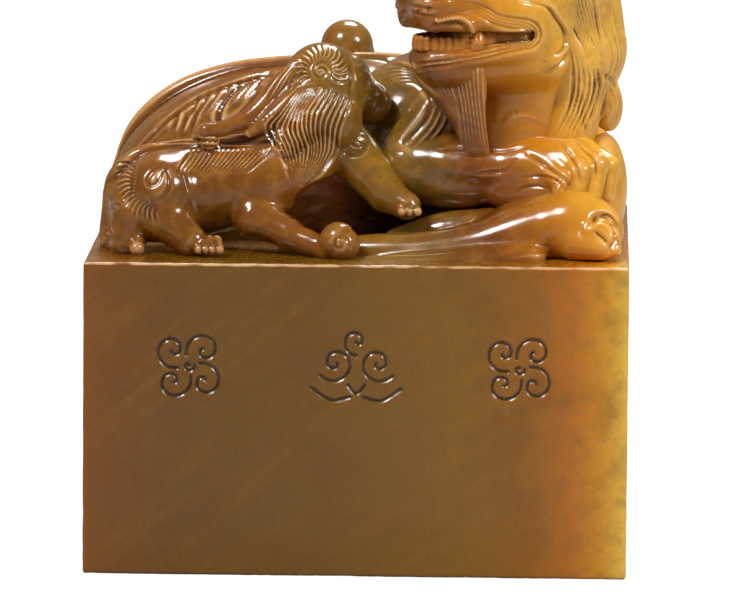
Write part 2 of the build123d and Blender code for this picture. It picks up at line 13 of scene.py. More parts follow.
import bpy
import numpy as np
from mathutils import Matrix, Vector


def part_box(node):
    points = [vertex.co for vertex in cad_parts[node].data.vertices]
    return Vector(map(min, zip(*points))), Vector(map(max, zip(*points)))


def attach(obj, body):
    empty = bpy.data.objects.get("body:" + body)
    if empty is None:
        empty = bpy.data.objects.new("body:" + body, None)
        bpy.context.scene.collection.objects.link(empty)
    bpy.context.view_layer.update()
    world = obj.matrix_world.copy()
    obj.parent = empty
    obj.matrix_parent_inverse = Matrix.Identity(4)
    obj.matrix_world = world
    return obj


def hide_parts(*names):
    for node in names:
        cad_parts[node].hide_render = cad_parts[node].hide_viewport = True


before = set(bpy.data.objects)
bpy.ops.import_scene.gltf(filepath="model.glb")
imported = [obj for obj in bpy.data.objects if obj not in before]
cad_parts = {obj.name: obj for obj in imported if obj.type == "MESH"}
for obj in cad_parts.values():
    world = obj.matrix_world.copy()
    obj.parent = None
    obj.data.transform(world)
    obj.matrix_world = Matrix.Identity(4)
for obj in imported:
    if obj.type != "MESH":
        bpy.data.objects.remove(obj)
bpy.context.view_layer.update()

import openvdb
from mathutils import Matrix, Vector

LOG = logging.getLogger("seal")

METRES_PER_MM = 0.001
PointMM = tuple[float, float, float]
Pixel = tuple[float, float]
Path = Sequence[Sequence[float]]
Socket = bpy.types.NodeSocket
Material = bpy.types.Material


def node_box_mm(node: str) -> tuple[np.ndarray, np.ndarray]:
    """Lowest and highest corner of a CAD node in millimetres."""
    low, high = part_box(node)
    return np.array(low) / METRES_PER_MM, np.array(high) / METRES_PER_MM


BLOCK_LOW, BLOCK_HIGH = node_box_mm("seal_block")
TABLE = float(BLOCK_HIGH[2])
# The figures end this far under the block's top, so that no gap shows, and this far inside its sides.
SINK = 0.4
SIDE_LIMIT = 24.95


class StonePart(Enum):
    """Which part of the stone a finish is for."""

    BLOCK = "block_stone"
    FIGURES = "figure_stone"
    MOUTH = "mouth_stone"


@dataclass(frozen=True)
class PhotoCamera:
    """The camera fitted to the block's corners: a long lens, a little above the table.

    Lengths are millimetres, angles degrees, and frame sizes pixels.
    """

    pitch: float = 7.6
    yaw: float = -1.5
    roll: float = 0.45
    distance: float = 735.0
    aim_x: float = 1.3
    aim_z: float = 25.7
    focal_px: float = 8030.0
    frame_width_px: int = 740
    frame_height_px: int = 600
    sensor_width: float = 36.0

    def axes(self) -> tuple[np.ndarray, np.ndarray, np.ndarray]:
        """Right, up and forward unit vectors."""
        pitch, yaw, roll = (math.radians(a) for a in (self.pitch, self.yaw, self.roll))
        flat = math.cos(pitch)
        forward = np.array([math.sin(yaw) * flat, math.cos(yaw) * flat, -math.sin(pitch)])
        right = np.cross(forward, (0.0, 0.0, 1.0))
        right /= np.linalg.norm(right)
        up = np.cross(right, forward)
        turned_right = right * math.cos(roll) + up * math.sin(roll)
        turned_up = up * math.cos(roll) - right * math.sin(roll)
        return turned_right, turned_up, forward

    def place(self) -> np.ndarray:
        """Where the camera stands, in millimetres."""
        _, _, forward = self.axes()
        aim = np.array([self.aim_x, BLOCK_LOW[1], self.aim_z])
        return aim - forward * self.distance

    def build(self) -> bpy.types.Object:
        """Makes the camera and hands it to the scene."""
        right, up, forward = self.axes()
        data = bpy.data.cameras.new("photo_camera")
        data.sensor_width = self.sensor_width
        data.lens = self.focal_px / self.frame_width_px * self.sensor_width
        data.clip_start, data.clip_end = 0.05, 20.0
        camera = bpy.data.objects.new("photo_camera", data)
        matrix = Matrix.Identity(4)
        for row in range(3):
            matrix[row][0], matrix[row][1], matrix[row][2] = right[row], up[row], -forward[row]
            matrix[row][3] = self.place()[row] * METRES_PER_MM
        camera.matrix_world = matrix
        bpy.context.scene.collection.objects.link(camera)
        bpy.context.scene.camera = camera
        return camera


@dataclass(frozen=True)
class Sight:
    """A flat drawing plane that a graver's strokes are laid out on.

    Args:
        right: unit vector along the drawing's first axis.
        up: unit vector along its second axis.
        toward: unit vector from the stone to the carver's eye.
        scale: drawing units per millimetre.
        centre: the drawing's point that the eye's axis meets.
        eye: where the eye is, for the view through the fitted camera, or None for a flat view.
        distance: how far the eye is from the block's front.
    """

    right: tuple[float, float, float]
    up: tuple[float, float, float]
    toward: tuple[float, float, float]
    scale: float = 1.0
    centre: tuple[float, float] = (0.0, 0.0)
    eye: tuple[float, float, float] | None = None
    distance: float = 1.0

    def flat(self, points: np.ndarray) -> np.ndarray:
        """Drawing coordinates of points in millimetres."""
        right, up = np.array(self.right), np.array(self.up)
        if self.eye is None:
            across, along = points @ right, points @ up
        else:
            ray = points - np.array(self.eye)
            away = self.distance / -(ray @ np.array(self.toward))
            across, along = (ray @ right) * away, (ray @ up) * away
        return np.stack([self.centre[0] + across * self.scale, self.centre[1] + along * self.scale], axis=1)


def photo_sight(camera: PhotoCamera) -> Sight:
    """The view through the fitted camera, in pixels of its frame with the second axis down."""
    right, up, forward = camera.axes()
    return Sight(
        right=tuple(right),
        up=tuple(-up),
        toward=tuple(-forward),
        scale=camera.focal_px / camera.distance,
        centre=(camera.frame_width_px / 2, camera.frame_height_px / 2),
        eye=tuple(camera.place()),
        distance=camera.distance,
    )


FRONT = photo_sight(PhotoCamera())
BACK = Sight(right=(-1, 0, 0), up=(0, 0, 1), toward=(0, 1, 0), centre=(0.0, -TABLE))
RIGHT = Sight(right=(0, 1, 0), up=(0, 0, 1), toward=(1, 0, 0), centre=(0.0, -TABLE))
LEFT = Sight(right=(0, -1, 0), up=(0, 0, 1), toward=(-1, 0, 0), centre=(0.0, -TABLE))
TOP = Sight(right=(1, 0, 0), up=(0, 1, 0), toward=(0, 0, 1))


def smooth_path(path: Path, step: float) -> np.ndarray:
    """A Catmull-Rom curve through the points, sampled about every step."""
    points = np.asarray(path, float)
    if len(points) == 2:
        count = max(2, int(np.linalg.norm(points[1] - points[0]) / step) + 1)
        return points[0] + (points[1] - points[0]) * np.linspace(0, 1, count)[:, None]
    padded = np.vstack([2 * points[0] - points[1], points, 2 * points[-1] - points[-2]])
    runs = []
    for a, b, c, d in zip(padded, padded[1:], padded[2:], padded[3:]):
        count = max(2, int(np.linalg.norm(c - b) / step) + 1)
        t = np.linspace(0, 1, count, endpoint=False)[:, None]
        cubic = 2 * b + (c - a) * t + (2 * a - 5 * b + 4 * c - d) * t**2 + (3 * b - a - 3 * c + d) * t**3
        runs.append(cubic / 2)
    runs.append(points[-1:])
    return np.vstack(runs)


def comb(first: Path, last: Path, count: int) -> list[np.ndarray]:
    """Evenly spread strokes between two guide strokes.

    Args:
        first: the guide on one side.
        last: the guide on the other side.
        count: how many strokes, both guides included.

    Returns:
        One path for each stroke.
    """
    samples = 24
    rails = []
    for guide in (first, last):
        dense = smooth_path(guide, 0.05 * np.ptp(np.asarray(guide, float), axis=0).max())
        length = np.concatenate([[0], np.cumsum(np.linalg.norm(np.diff(dense, axis=0), axis=1))])
        marks = np.linspace(0, length[-1], samples)
        rails.append(
            np.stack([np.interp(marks, length, dense[:, k]) for k in range(dense.shape[1])], axis=1)
        )
    return [rails[0] * (1 - share) + rails[1] * share for share in np.linspace(0, 1, count)]


def spiral(centre: Sequence[float], radius: float, turns: float, start: float, hand: int = 1) -> np.ndarray:
    """A flat spiral that opens from its centre to the radius; start is its last angle in degrees."""
    t = np.linspace(0.08, 1, int(14 * turns) + 6)
    angle = math.radians(start) - hand * 2 * math.pi * turns * (1 - t)
    return np.stack([centre[0] + radius * t * np.cos(angle), centre[1] + radius * t * np.sin(angle)], axis=1)


def fan(centre: Sequence[float], inner: float, outer: float, start: float, stop: float, count: int) -> list:
    """Short strokes that stand round a centre, between two radii and two angles in degrees."""
    strokes = []
    for angle in np.radians(np.linspace(start, stop, count)):
        ray = np.array([math.cos(angle), math.sin(angle)])
        side = np.array([-ray[1], ray[0]]) * (outer - inner) * 0.18
        middle = np.array(centre) + ray * (inner + outer) / 2 + side
        strokes.append([np.array(centre) + ray * inner, middle, np.array(centre) + ray * outer])
    return strokes


def wavy(points: np.ndarray, size: float, seed: int) -> np.ndarray:
    """A cheap smooth noise from a few crossed waves, about -1 to 1."""
    rng = np.random.default_rng(seed)
    total = np.zeros(len(points))
    for _ in range(8):
        wave = rng.normal(size=3) * 2 / size
        total += np.sin(points @ wave + rng.uniform(0, 2 * math.pi))
    return total / 4


@dataclass(frozen=True)
class Limb:
    """A tapered run with ball ends. Places and radii are millimetres over the table."""

    start: PointMM
    end: PointMM
    start_radius: float
    end_radius: float

    def reach(self) -> tuple[np.ndarray, np.ndarray]:
        """Lowest and highest corner."""
        a, b = np.array(self.start), np.array(self.end)
        r, s = self.start_radius, self.end_radius
        return np.minimum(a - r, b - s), np.maximum(a + r, b + s)

    def distance(self, x: np.ndarray, y: np.ndarray, z: np.ndarray) -> np.ndarray:
        """Signed distance from the form's skin."""
        a, b = np.array(self.start), np.array(self.end)
        ax, ay, az = x - a[0], y - a[1], z - a[2]
        bx, by, bz = b - a
        span = max(bx * bx + by * by + bz * bz, 1e-9)
        t = np.clip((ax * bx + ay * by + az * bz) / span, 0, 1)
        gap = np.sqrt((ax - bx * t) ** 2 + (ay - by * t) ** 2 + (az - bz * t) ** 2)
        return gap - (self.start_radius + (self.end_radius - self.start_radius) * t)


@dataclass(frozen=True)
class Lump:
    """An egg with three radii, turned about Z and then tilted up about its own side axis."""

    middle: PointMM
    radii: PointMM
    turn: float = 0.0
    tilt: float = 0.0

    def reach(self) -> tuple[np.ndarray, np.ndarray]:
        """Lowest and highest corner of a ball round the egg."""
        centre, size = np.array(self.middle), max(self.radii)
        return centre - size, centre + size

    def distance(self, x: np.ndarray, y: np.ndarray, z: np.ndarray) -> np.ndarray:
        """Signed distance from the form's skin, exact near the skin."""
        about_z = Matrix.Rotation(math.radians(self.turn), 3, "Z")
        turn = about_z @ Matrix.Rotation(-math.radians(self.tilt), 3, "Y")
        px, py, pz = (axis - place for axis, place in zip((x, y, z), self.middle))
        near, far = 0.0, 0.0
        for k, radius in enumerate(self.radii):
            own = px * turn[0][k] + py * turn[1][k] + pz * turn[2][k]
            near = near + (own / radius) ** 2
            far = far + (own / radius**2) ** 2
        near = np.sqrt(near)
        return near * (near - 1) / np.maximum(np.sqrt(far), 1e-6)


@dataclass(frozen=True)
class Rope:
    """A round rope along a smooth path, with a radius at each of its points."""

    path: Path
    radii: Sequence[float]
    step: float = 1.0

    def runs(self) -> list[Limb]:
        """The rope as short tapered runs."""
        marks = [(*point, radius) for point, radius in zip(self.path, self.radii)]
        dense = smooth_path(marks, min(self.step, max(0.5, min(self.radii))))
        return [Limb(tuple(a[:3]), tuple(b[:3]), a[3], b[3]) for a, b in zip(dense, dense[1:])]

    def reach(self) -> tuple[np.ndarray, np.ndarray]:
        """Lowest and highest corner."""
        corners = [run.reach() for run in self.runs()]
        return np.min([c[0] for c in corners], axis=0), np.max([c[1] for c in corners], axis=0)

    def distance(self, x: np.ndarray, y: np.ndarray, z: np.ndarray) -> np.ndarray:
        """Signed distance from the form's skin."""
        nearest = None
        for run in self.runs():
            gap = run.distance(x, y, z)
            nearest = gap if nearest is None else np.minimum(nearest, gap)
        return nearest


@dataclass(frozen=True)
class Slot:
    """A tapered run that is stretched both ways along its own side axis, such as an open mouth."""

    run: Limb
    side: PointMM
    half_width: float

    def reach(self) -> tuple[np.ndarray, np.ndarray]:
        """Lowest and highest corner."""
        low, high = self.run.reach()
        stretch = np.abs(np.array(self.side)) * self.half_width
        return low - stretch, high + stretch

    def distance(self, x: np.ndarray, y: np.ndarray, z: np.ndarray) -> np.ndarray:
        """Signed distance from the form's skin."""
        a, side = self.run.start, self.side
        along = (x - a[0]) * side[0] + (y - a[1]) * side[1] + (z - a[2]) * side[2]
        along = np.clip(along, -self.half_width, self.half_width)
        return self.run.distance(x - along * side[0], y - along * side[1], z - along * side[2])


Form = Limb | Lump | Rope | Slot
# Forms, each with the size of the fillet where it meets the clay.
Shapes = Sequence[tuple[Form, float]]


class Clay:
    """A block of clay as a grid of distances, which forms are added to and cut from."""

    # Distances are kept up to this many millimetres from the surface.
    FAR = 2.0

    def __init__(self, low: PointMM, high: PointMM, voxel: float) -> None:
        """Makes empty clay.

        Args:
            low: lowest corner in millimetres over the table.
            high: highest corner.
            voxel: the grid's spacing in millimetres.
        """
        self.voxel = voxel
        self.low = np.array(low, float)
        counts = np.ceil((np.array(high) - self.low) / voxel).astype(int) + 1
        self.axes = [self.low[k] + voxel * np.arange(counts[k]) for k in range(3)]
        self.field = np.full(counts, self.FAR, np.float32)

    def window(self, form: Form, margin: float) -> tuple[tuple[slice, ...], list[np.ndarray]]:
        """The grid's part round a form.

        Args:
            form: the form.
            margin: how far the part reaches past the form.

        Returns:
            The part's slices, and its places along the three axes.
        """
        low, high = form.reach()
        spans, axes = [], []
        for k in range(3):
            first = int(np.searchsorted(self.axes[k], low[k] - margin))
            last = int(np.searchsorted(self.axes[k], high[k] + margin)) + 1
            spans.append(slice(first, last))
            shape = [1, 1, 1]
            shape[k] = -1
            axes.append(self.axes[k][first:last].astype(np.float32).reshape(shape))
        return tuple(spans), axes

    def add(self, form: Form, blend: float = 0.3) -> "Clay":
        """Adds a form, with a fillet of about blend where it meets the clay."""
        spans, axes = self.window(form, self.FAR)
        here, gap = self.field[spans], form.distance(*axes)
        if here.size:
            soft = np.maximum(blend - np.abs(here - gap), 0) / blend
            self.field[spans] = np.minimum(here, gap) - soft * soft * blend / 4
        return self

    def cut(self, form: Form, blend: float = 0.2) -> "Clay":
        """Cuts a form away, with a soft edge of about blend."""
        spans, axes = self.window(form, 0.0)
        here, gap = self.field[spans], -form.distance(*axes)
        if here.size:
            soft = np.maximum(blend - np.abs(here - gap), 0) / blend
            self.field[spans] = np.maximum(here, gap) + soft * soft * blend / 4
        return self

    def add_all(self, shapes: Shapes) -> "Clay":
        """Adds forms one after another, each with its fillet."""
        for form, blend in shapes:
            self.add(form, blend)
        return self

    def cut_all(self, shapes: Shapes) -> "Clay":
        """Cuts forms away one after another, each with its soft edge."""
        for form, blend in shapes:
            self.cut(form, blend)
        return self

    def keep_above(self, height: float) -> "Clay":
        """Ends the clay flat at this height over the table."""
        level = height - self.axes[2].astype(np.float32)
        self.field = np.maximum(self.field, level.reshape(1, 1, -1))
        return self

    def keep_inside(self) -> "Clay":
        """Ends the clay flat just inside the block's left and right sides."""
        along = self.axes[0].astype(np.float32)
        past = np.maximum(-SIDE_LIMIT - along, along - SIDE_LIMIT)
        self.field = np.maximum(self.field, past.reshape(-1, 1, 1))
        return self

    def snapped(self, points: np.ndarray) -> np.ndarray:
        """Moves places near the surface onto it, by the distances at the eight grid points around."""
        cell = (points - self.low) / self.voxel
        corner = np.clip(np.floor(cell).astype(int), 0, np.array(self.field.shape) - 2)
        share = cell - corner
        value, slope = np.zeros(len(points)), np.zeros_like(points)
        for step in np.ndindex(2, 2, 2):
            here = self.field[tuple((corner + step).T)]
            parts = np.where(step, share, 1 - share)
            value += here * parts.prod(axis=1)
            for k in range(3):
                others = parts[:, [j for j in range(3) if j != k]].prod(axis=1)
                slope[:, k] += here * others * (1 if step[k] else -1)
        slope /= self.voxel
        return points - slope * (value / np.maximum(np.einsum("ij,ij->i", slope, slope), 0.2))[:, None]

    def skin(self, polish: int = 2) -> "Skin":
        """Meshes the clay's surface and smooths it a few times."""
        grid = openvdb.FloatGrid(self.FAR)
        solid = self.field.copy()
        for k in range(3):
            edge = [slice(None)] * 3
            for end in (0, -1):
                edge[k] = end
                solid[tuple(edge)] = np.maximum(solid[tuple(edge)], self.voxel)
        grid.copyFromArray(solid)
        points, quads = grid.convertToQuads()
        points = self.snapped(self.snapped(points.astype(float) * self.voxel + self.low))
        points[:, 2] += TABLE
        return Skin(points, quads.astype(np.int64)).polished(polish)


class Skin:
    """A quad mesh in millimetres, with what its looks need to know at each vertex.

    Attributes:
        shaded_and_inked: how dark it is painted, from 0 to 1: painted shade in the figures' recesses, and
            ink in the block's ornament.
        wear_and_highlight: how much of a ridge wear makes it count as, in millimetres, so that it takes the
            ridges' painted highlight.
        relief_rounds: how often the mesh is evened out to find its hollows and ridges.
    """

    def __init__(self, points: np.ndarray, quads: np.ndarray) -> None:
        """Takes the mesh and turns its faces outwards."""
        self.points, self.quads = points, quads
        a, b, c, d = (points[quads[:, k]] for k in range(4))
        volume = np.einsum("ij,ij->", a, np.cross(b, c)) + np.einsum("ij,ij->", a, np.cross(c, d))
        if volume < 0:
            self.quads = quads[:, ::-1].copy()
        self.shaded_and_inked = np.zeros(len(points))
        self.wear_and_highlight = np.zeros(len(points))
        self.relief_rounds = 12

    def normals(self) -> np.ndarray:
        """Unit normals at the vertices."""
        a, b, c, d = (self.points[self.quads[:, k]] for k in range(4))
        face = np.cross(c - a, d - b)
        total = np.zeros_like(self.points)
        for corner in range(4):
            for k in range(3):
                total[:, k] += np.bincount(self.quads[:, corner], face[:, k], len(self.points))
        return total / np.maximum(np.linalg.norm(total, axis=1), 1e-12)[:, None]

    def polished(self, rounds: int) -> "Skin":
        """Evens out the surface without shrinking it."""
        edges = self.edges()
        for step in [0.5, -0.52] * rounds:
            self.points = self.points + step * (self.neighbour_mean(self.points, edges) - self.points)
        return self

    def edges(self) -> np.ndarray:
        """The two ends of each side of each face."""
        return np.vstack([self.quads[:, [k, (k + 1) % 4]] for k in range(4)])

    @staticmethod
    def neighbour_mean(points: np.ndarray, edges: np.ndarray) -> np.ndarray:
        """The mean place of each vertex's neighbours."""
        count = np.maximum(np.bincount(edges.ravel(), minlength=len(points)), 1)
        mean = np.zeros_like(points)
        for k in range(3):
            mean[:, k] = np.bincount(edges[:, 0], points[edges[:, 1], k], len(points))
            mean[:, k] += np.bincount(edges[:, 1], points[edges[:, 0], k], len(points))
        return mean / count[:, None]

    def push(self, amount: np.ndarray) -> None:
        """Moves each vertex along its normal by this many millimetres."""
        self.points = self.points + self.normals() * amount[:, None]

    def relief(self) -> np.ndarray:
        """How far each vertex lies in a hollow (above zero) or on a ridge, in millimetres."""
        mean, edges = self.points, self.edges()
        for _ in range(self.relief_rounds):
            mean = mean + 0.5 * (self.neighbour_mean(mean, edges) - mean)
        return np.einsum("ij,ij->i", mean - self.points, self.normals()) - self.wear_and_highlight

    def shade_and_ink(self, form: Form, reach: float, share: float) -> None:
        """Paints shade onto the skin within reach of a form, darker nearer it, as where shade falls in a
        recess.
        """
        x, y, z = (self.points[:, k] for k in range(3))
        gap = form.distance(x, y, z - TABLE)
        self.shaded_and_inked = np.maximum(self.shaded_and_inked, share * np.clip(1 - gap / reach, 0, 1))

    def piece(
        self, name: str, material: Material, nodes: Sequence[str], part: StonePart = StonePart.FIGURES
    ) -> bpy.types.Object:
        """Makes the Blender object, in metres, and lets it stand for CAD nodes.

        Args:
            name: the piece's name.
            material: its finish.
            nodes: the CAD nodes that it stands for.
            part: which part of the stone it is; not used.

        Returns:
            The piece.
        """
        mesh = bpy.data.meshes.new(name)
        mesh.vertices.add(len(self.points))
        mesh.vertices.foreach_set("co", (self.points * METRES_PER_MM).astype(np.float32).ravel())
        mesh.loops.add(self.quads.size)
        mesh.loops.foreach_set("vertex_index", self.quads.astype(np.int32).ravel())
        mesh.polygons.add(len(self.quads))
        mesh.polygons.foreach_set("loop_start", np.arange(0, self.quads.size, 4, dtype=np.int32))
        mesh.polygons.foreach_set("use_smooth", np.ones(len(self.quads), bool))
        mesh.update(calc_edges=True)
        mesh.validate()
        for attribute, values in (("shade_and_ink", self.shaded_and_inked), ("relief", self.relief())):
            layer = mesh.attributes.new(attribute, "FLOAT", "POINT")
            layer.data.foreach_set("value", values.astype(np.float32))
        thing = bpy.data.objects.new(name, mesh)
        bpy.context.scene.collection.objects.link(thing)
        thing.data.materials.append(material)
        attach(thing, "root")
        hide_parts(*nodes)
        LOG.info("%s: %d faces", name, len(self.quads))
        return thing


@dataclass(frozen=True)
class Graver:
    """A cutting tool seen from one side.

    Args:
        sight: the view that its strokes are drawn in.
        width: half the width of its cut in millimetres; the cut is a rounded V.
        depth: how deep it cuts in millimetres; below zero it leaves a raised thread.
        taper: whether a stroke fades in and out.
    """

    # A stroke ends where the skin turns this far from the carver, as a cosine, and fades before that.
    LEAST_FACING: ClassVar[float] = 0.08
    FADE: ClassVar[float] = 0.25
    # The spacing of a stroke's points in millimetres, and how far its cut reaches in widths.
    STEP: ClassVar[float] = 0.35
    REACH: ClassVar[float] = 3.0

    sight: Sight
    width: float = 0.16
    depth: float = 0.14
    taper: bool = True

    def cut(self, skin: Skin, strokes: Sequence[Path], inside: np.ndarray | None = None) -> None:
        """Cuts the strokes into the skin, where it faces the carver.

        Args:
            skin: the mesh to cut.
            strokes: paths in the sight's drawing units.
            inside: a mask of the vertices that may be cut.
        """
        facing = skin.normals() @ np.array(self.sight.toward)
        flat = self.sight.flat(skin.points)
        amount = np.zeros(len(skin.points))
        open_to_cut = facing > self.LEAST_FACING
        if inside is not None:
            open_to_cut &= inside
        width = self.width * self.sight.scale
        for stroke in strokes:
            path = smooth_path(stroke, self.STEP * self.sight.scale)
            low, high = path.min(axis=0) - self.REACH * width, path.max(axis=0) + self.REACH * width
            near = open_to_cut & np.all((flat > low) & (flat < high), axis=1)
            chosen = np.flatnonzero(near)
            if not len(chosen):
                continue
            spots = flat[chosen]
            best, share = np.full(len(chosen), 1e9), np.zeros(len(chosen))
            for k, (a, b) in enumerate(zip(path, path[1:])):
                span = b - a
                t = np.clip(((spots - a) @ span) / max(span @ span, 1e-9), 0, 1)
                gap = np.linalg.norm(spots - a - t[:, None] * span, axis=1)
                closer = gap < best
                best[closer] = gap[closer]
                share[closer] = (k + t[closer]) / (len(path) - 1)
            profile = np.exp(-((best / width) ** 2))
            if self.taper:
                profile = profile * np.sqrt(np.clip(np.sin(math.pi * np.clip(share, 0.02, 0.98)), 0, 1))
            fade = np.clip((facing[chosen] - self.LEAST_FACING) / self.FADE, 0, 1)
            amount[chosen] = np.maximum(amount[chosen], profile * fade)
        skin.push(-self.depth * amount)


def srgb(code: str) -> tuple[float, float, float, float]:
    """Turns an sRGB hex code into a linear colour."""
    parts = [int(code[k : k + 2], 16) / 255 for k in (1, 3, 5)]
    linear = [p / 12.92 if p <= 0.04045 else ((p + 0.055) / 1.055) ** 2.4 for p in parts]
    return (*linear, 1.0)


class Tree:
    """The node tree of a material or the world, with one way to add a node."""

    def __init__(self, owner: Material | bpy.types.World) -> None:
        """Empties the owner's tree and gives it an output."""
        owner.use_nodes = True
        self.tree = owner.node_tree
        self.tree.nodes.clear()
        kind = "World" if isinstance(owner, bpy.types.World) else "Material"
        self.output = self.tree.nodes.new(f"ShaderNodeOutput{kind}")

    def end(self, shader: bpy.types.Node) -> None:
        """Leads a shader to the output."""
        self.tree.links.new(shader.outputs[0], self.output.inputs[0])

    def node(self, kind: str, settings: dict | None = None, links: dict | None = None) -> bpy.types.Node:
        """Adds a node.

        Args:
            kind: the node's type.
            settings: its properties by name, or its sockets' values by index or socket name.
            links: sockets to feed it, by its input's index or name.

        Returns:
            The node.
        """
        made = self.tree.nodes.new(kind)
        for key, value in (settings or {}).items():
            if isinstance(key, str) and hasattr(made, key):
                setattr(made, key, value)
            else:
                made.inputs[key].default_value = value
        for key, socket in (links or {}).items():
            self.tree.links.new(socket, made.inputs[key])
        return made

    def ramp(self, factor: Socket, stops: Sequence[tuple[float, str]]) -> Socket:
        """A colour ramp over sRGB hex stops."""
        made = self.node("ShaderNodeValToRGB", links={0: factor})
        elements = made.color_ramp.elements
        while len(elements) < len(stops):
            elements.new(0.5)
        for element, (place, code) in zip(elements, stops):
            element.position, element.color = place, srgb(code)
        return made.outputs["Color"]

    def mix(self, factor: Socket | float, a: Socket | str, b: Socket | str) -> Socket:
        """Mixes two colours, each a socket or an sRGB hex code."""
        made = self.node("ShaderNodeMix", {"data_type": "RGBA"})
        for index, value in ((0, factor), (6, a), (7, b)):
            if isinstance(value, Socket):
                self.tree.links.new(value, made.inputs[index])
            else:
                made.inputs[index].default_value = srgb(value) if isinstance(value, str) else value
        return made.outputs[2]

    def spread(
        self, value: Socket, low: float, high: float, out_low: float = 0.0, out_high: float = 1.0
    ) -> Socket:
        """Maps a range onto another, clamped and smooth."""
        settings = {"interpolation_type": "SMOOTHSTEP", 1: low, 2: high, 3: out_low, 4: out_high}
        return self.node("ShaderNodeMapRange", settings, {0: value}).outputs[0]

    def noise(self, place: Socket, size: float, detail: float, roughness: float) -> Socket:
        """Noise with features of about this size in the place's unit."""
        settings = {"Scale": 1 / size, "Detail": detail, "Roughness": roughness}
        return self.node("ShaderNodeTexNoise", settings, {"Vector": place}).outputs[0]

    def measure(self, name: str) -> Socket:
        """A measure that a skin carries at its vertices."""
        return self.node("ShaderNodeAttribute", {"attribute_name": name}).outputs["Fac"]

    def over(self, under: Socket, mask: Socket, share: float, code: str) -> Socket:
        """Lays a colour over another where the mask is, by a share of it."""
        return self.mix(self.times(mask, share), under, code)

    def times(self, a: Socket, b: Socket | float) -> Socket:
        """The product of two values."""
        if isinstance(b, Socket):
            return self.node("ShaderNodeMath", {"operation": "MULTIPLY"}, {0: a, 1: b}).outputs[0]
        return self.node("ShaderNodeMath", {"operation": "MULTIPLY", 1: b}, {0: a}).outputs[0]


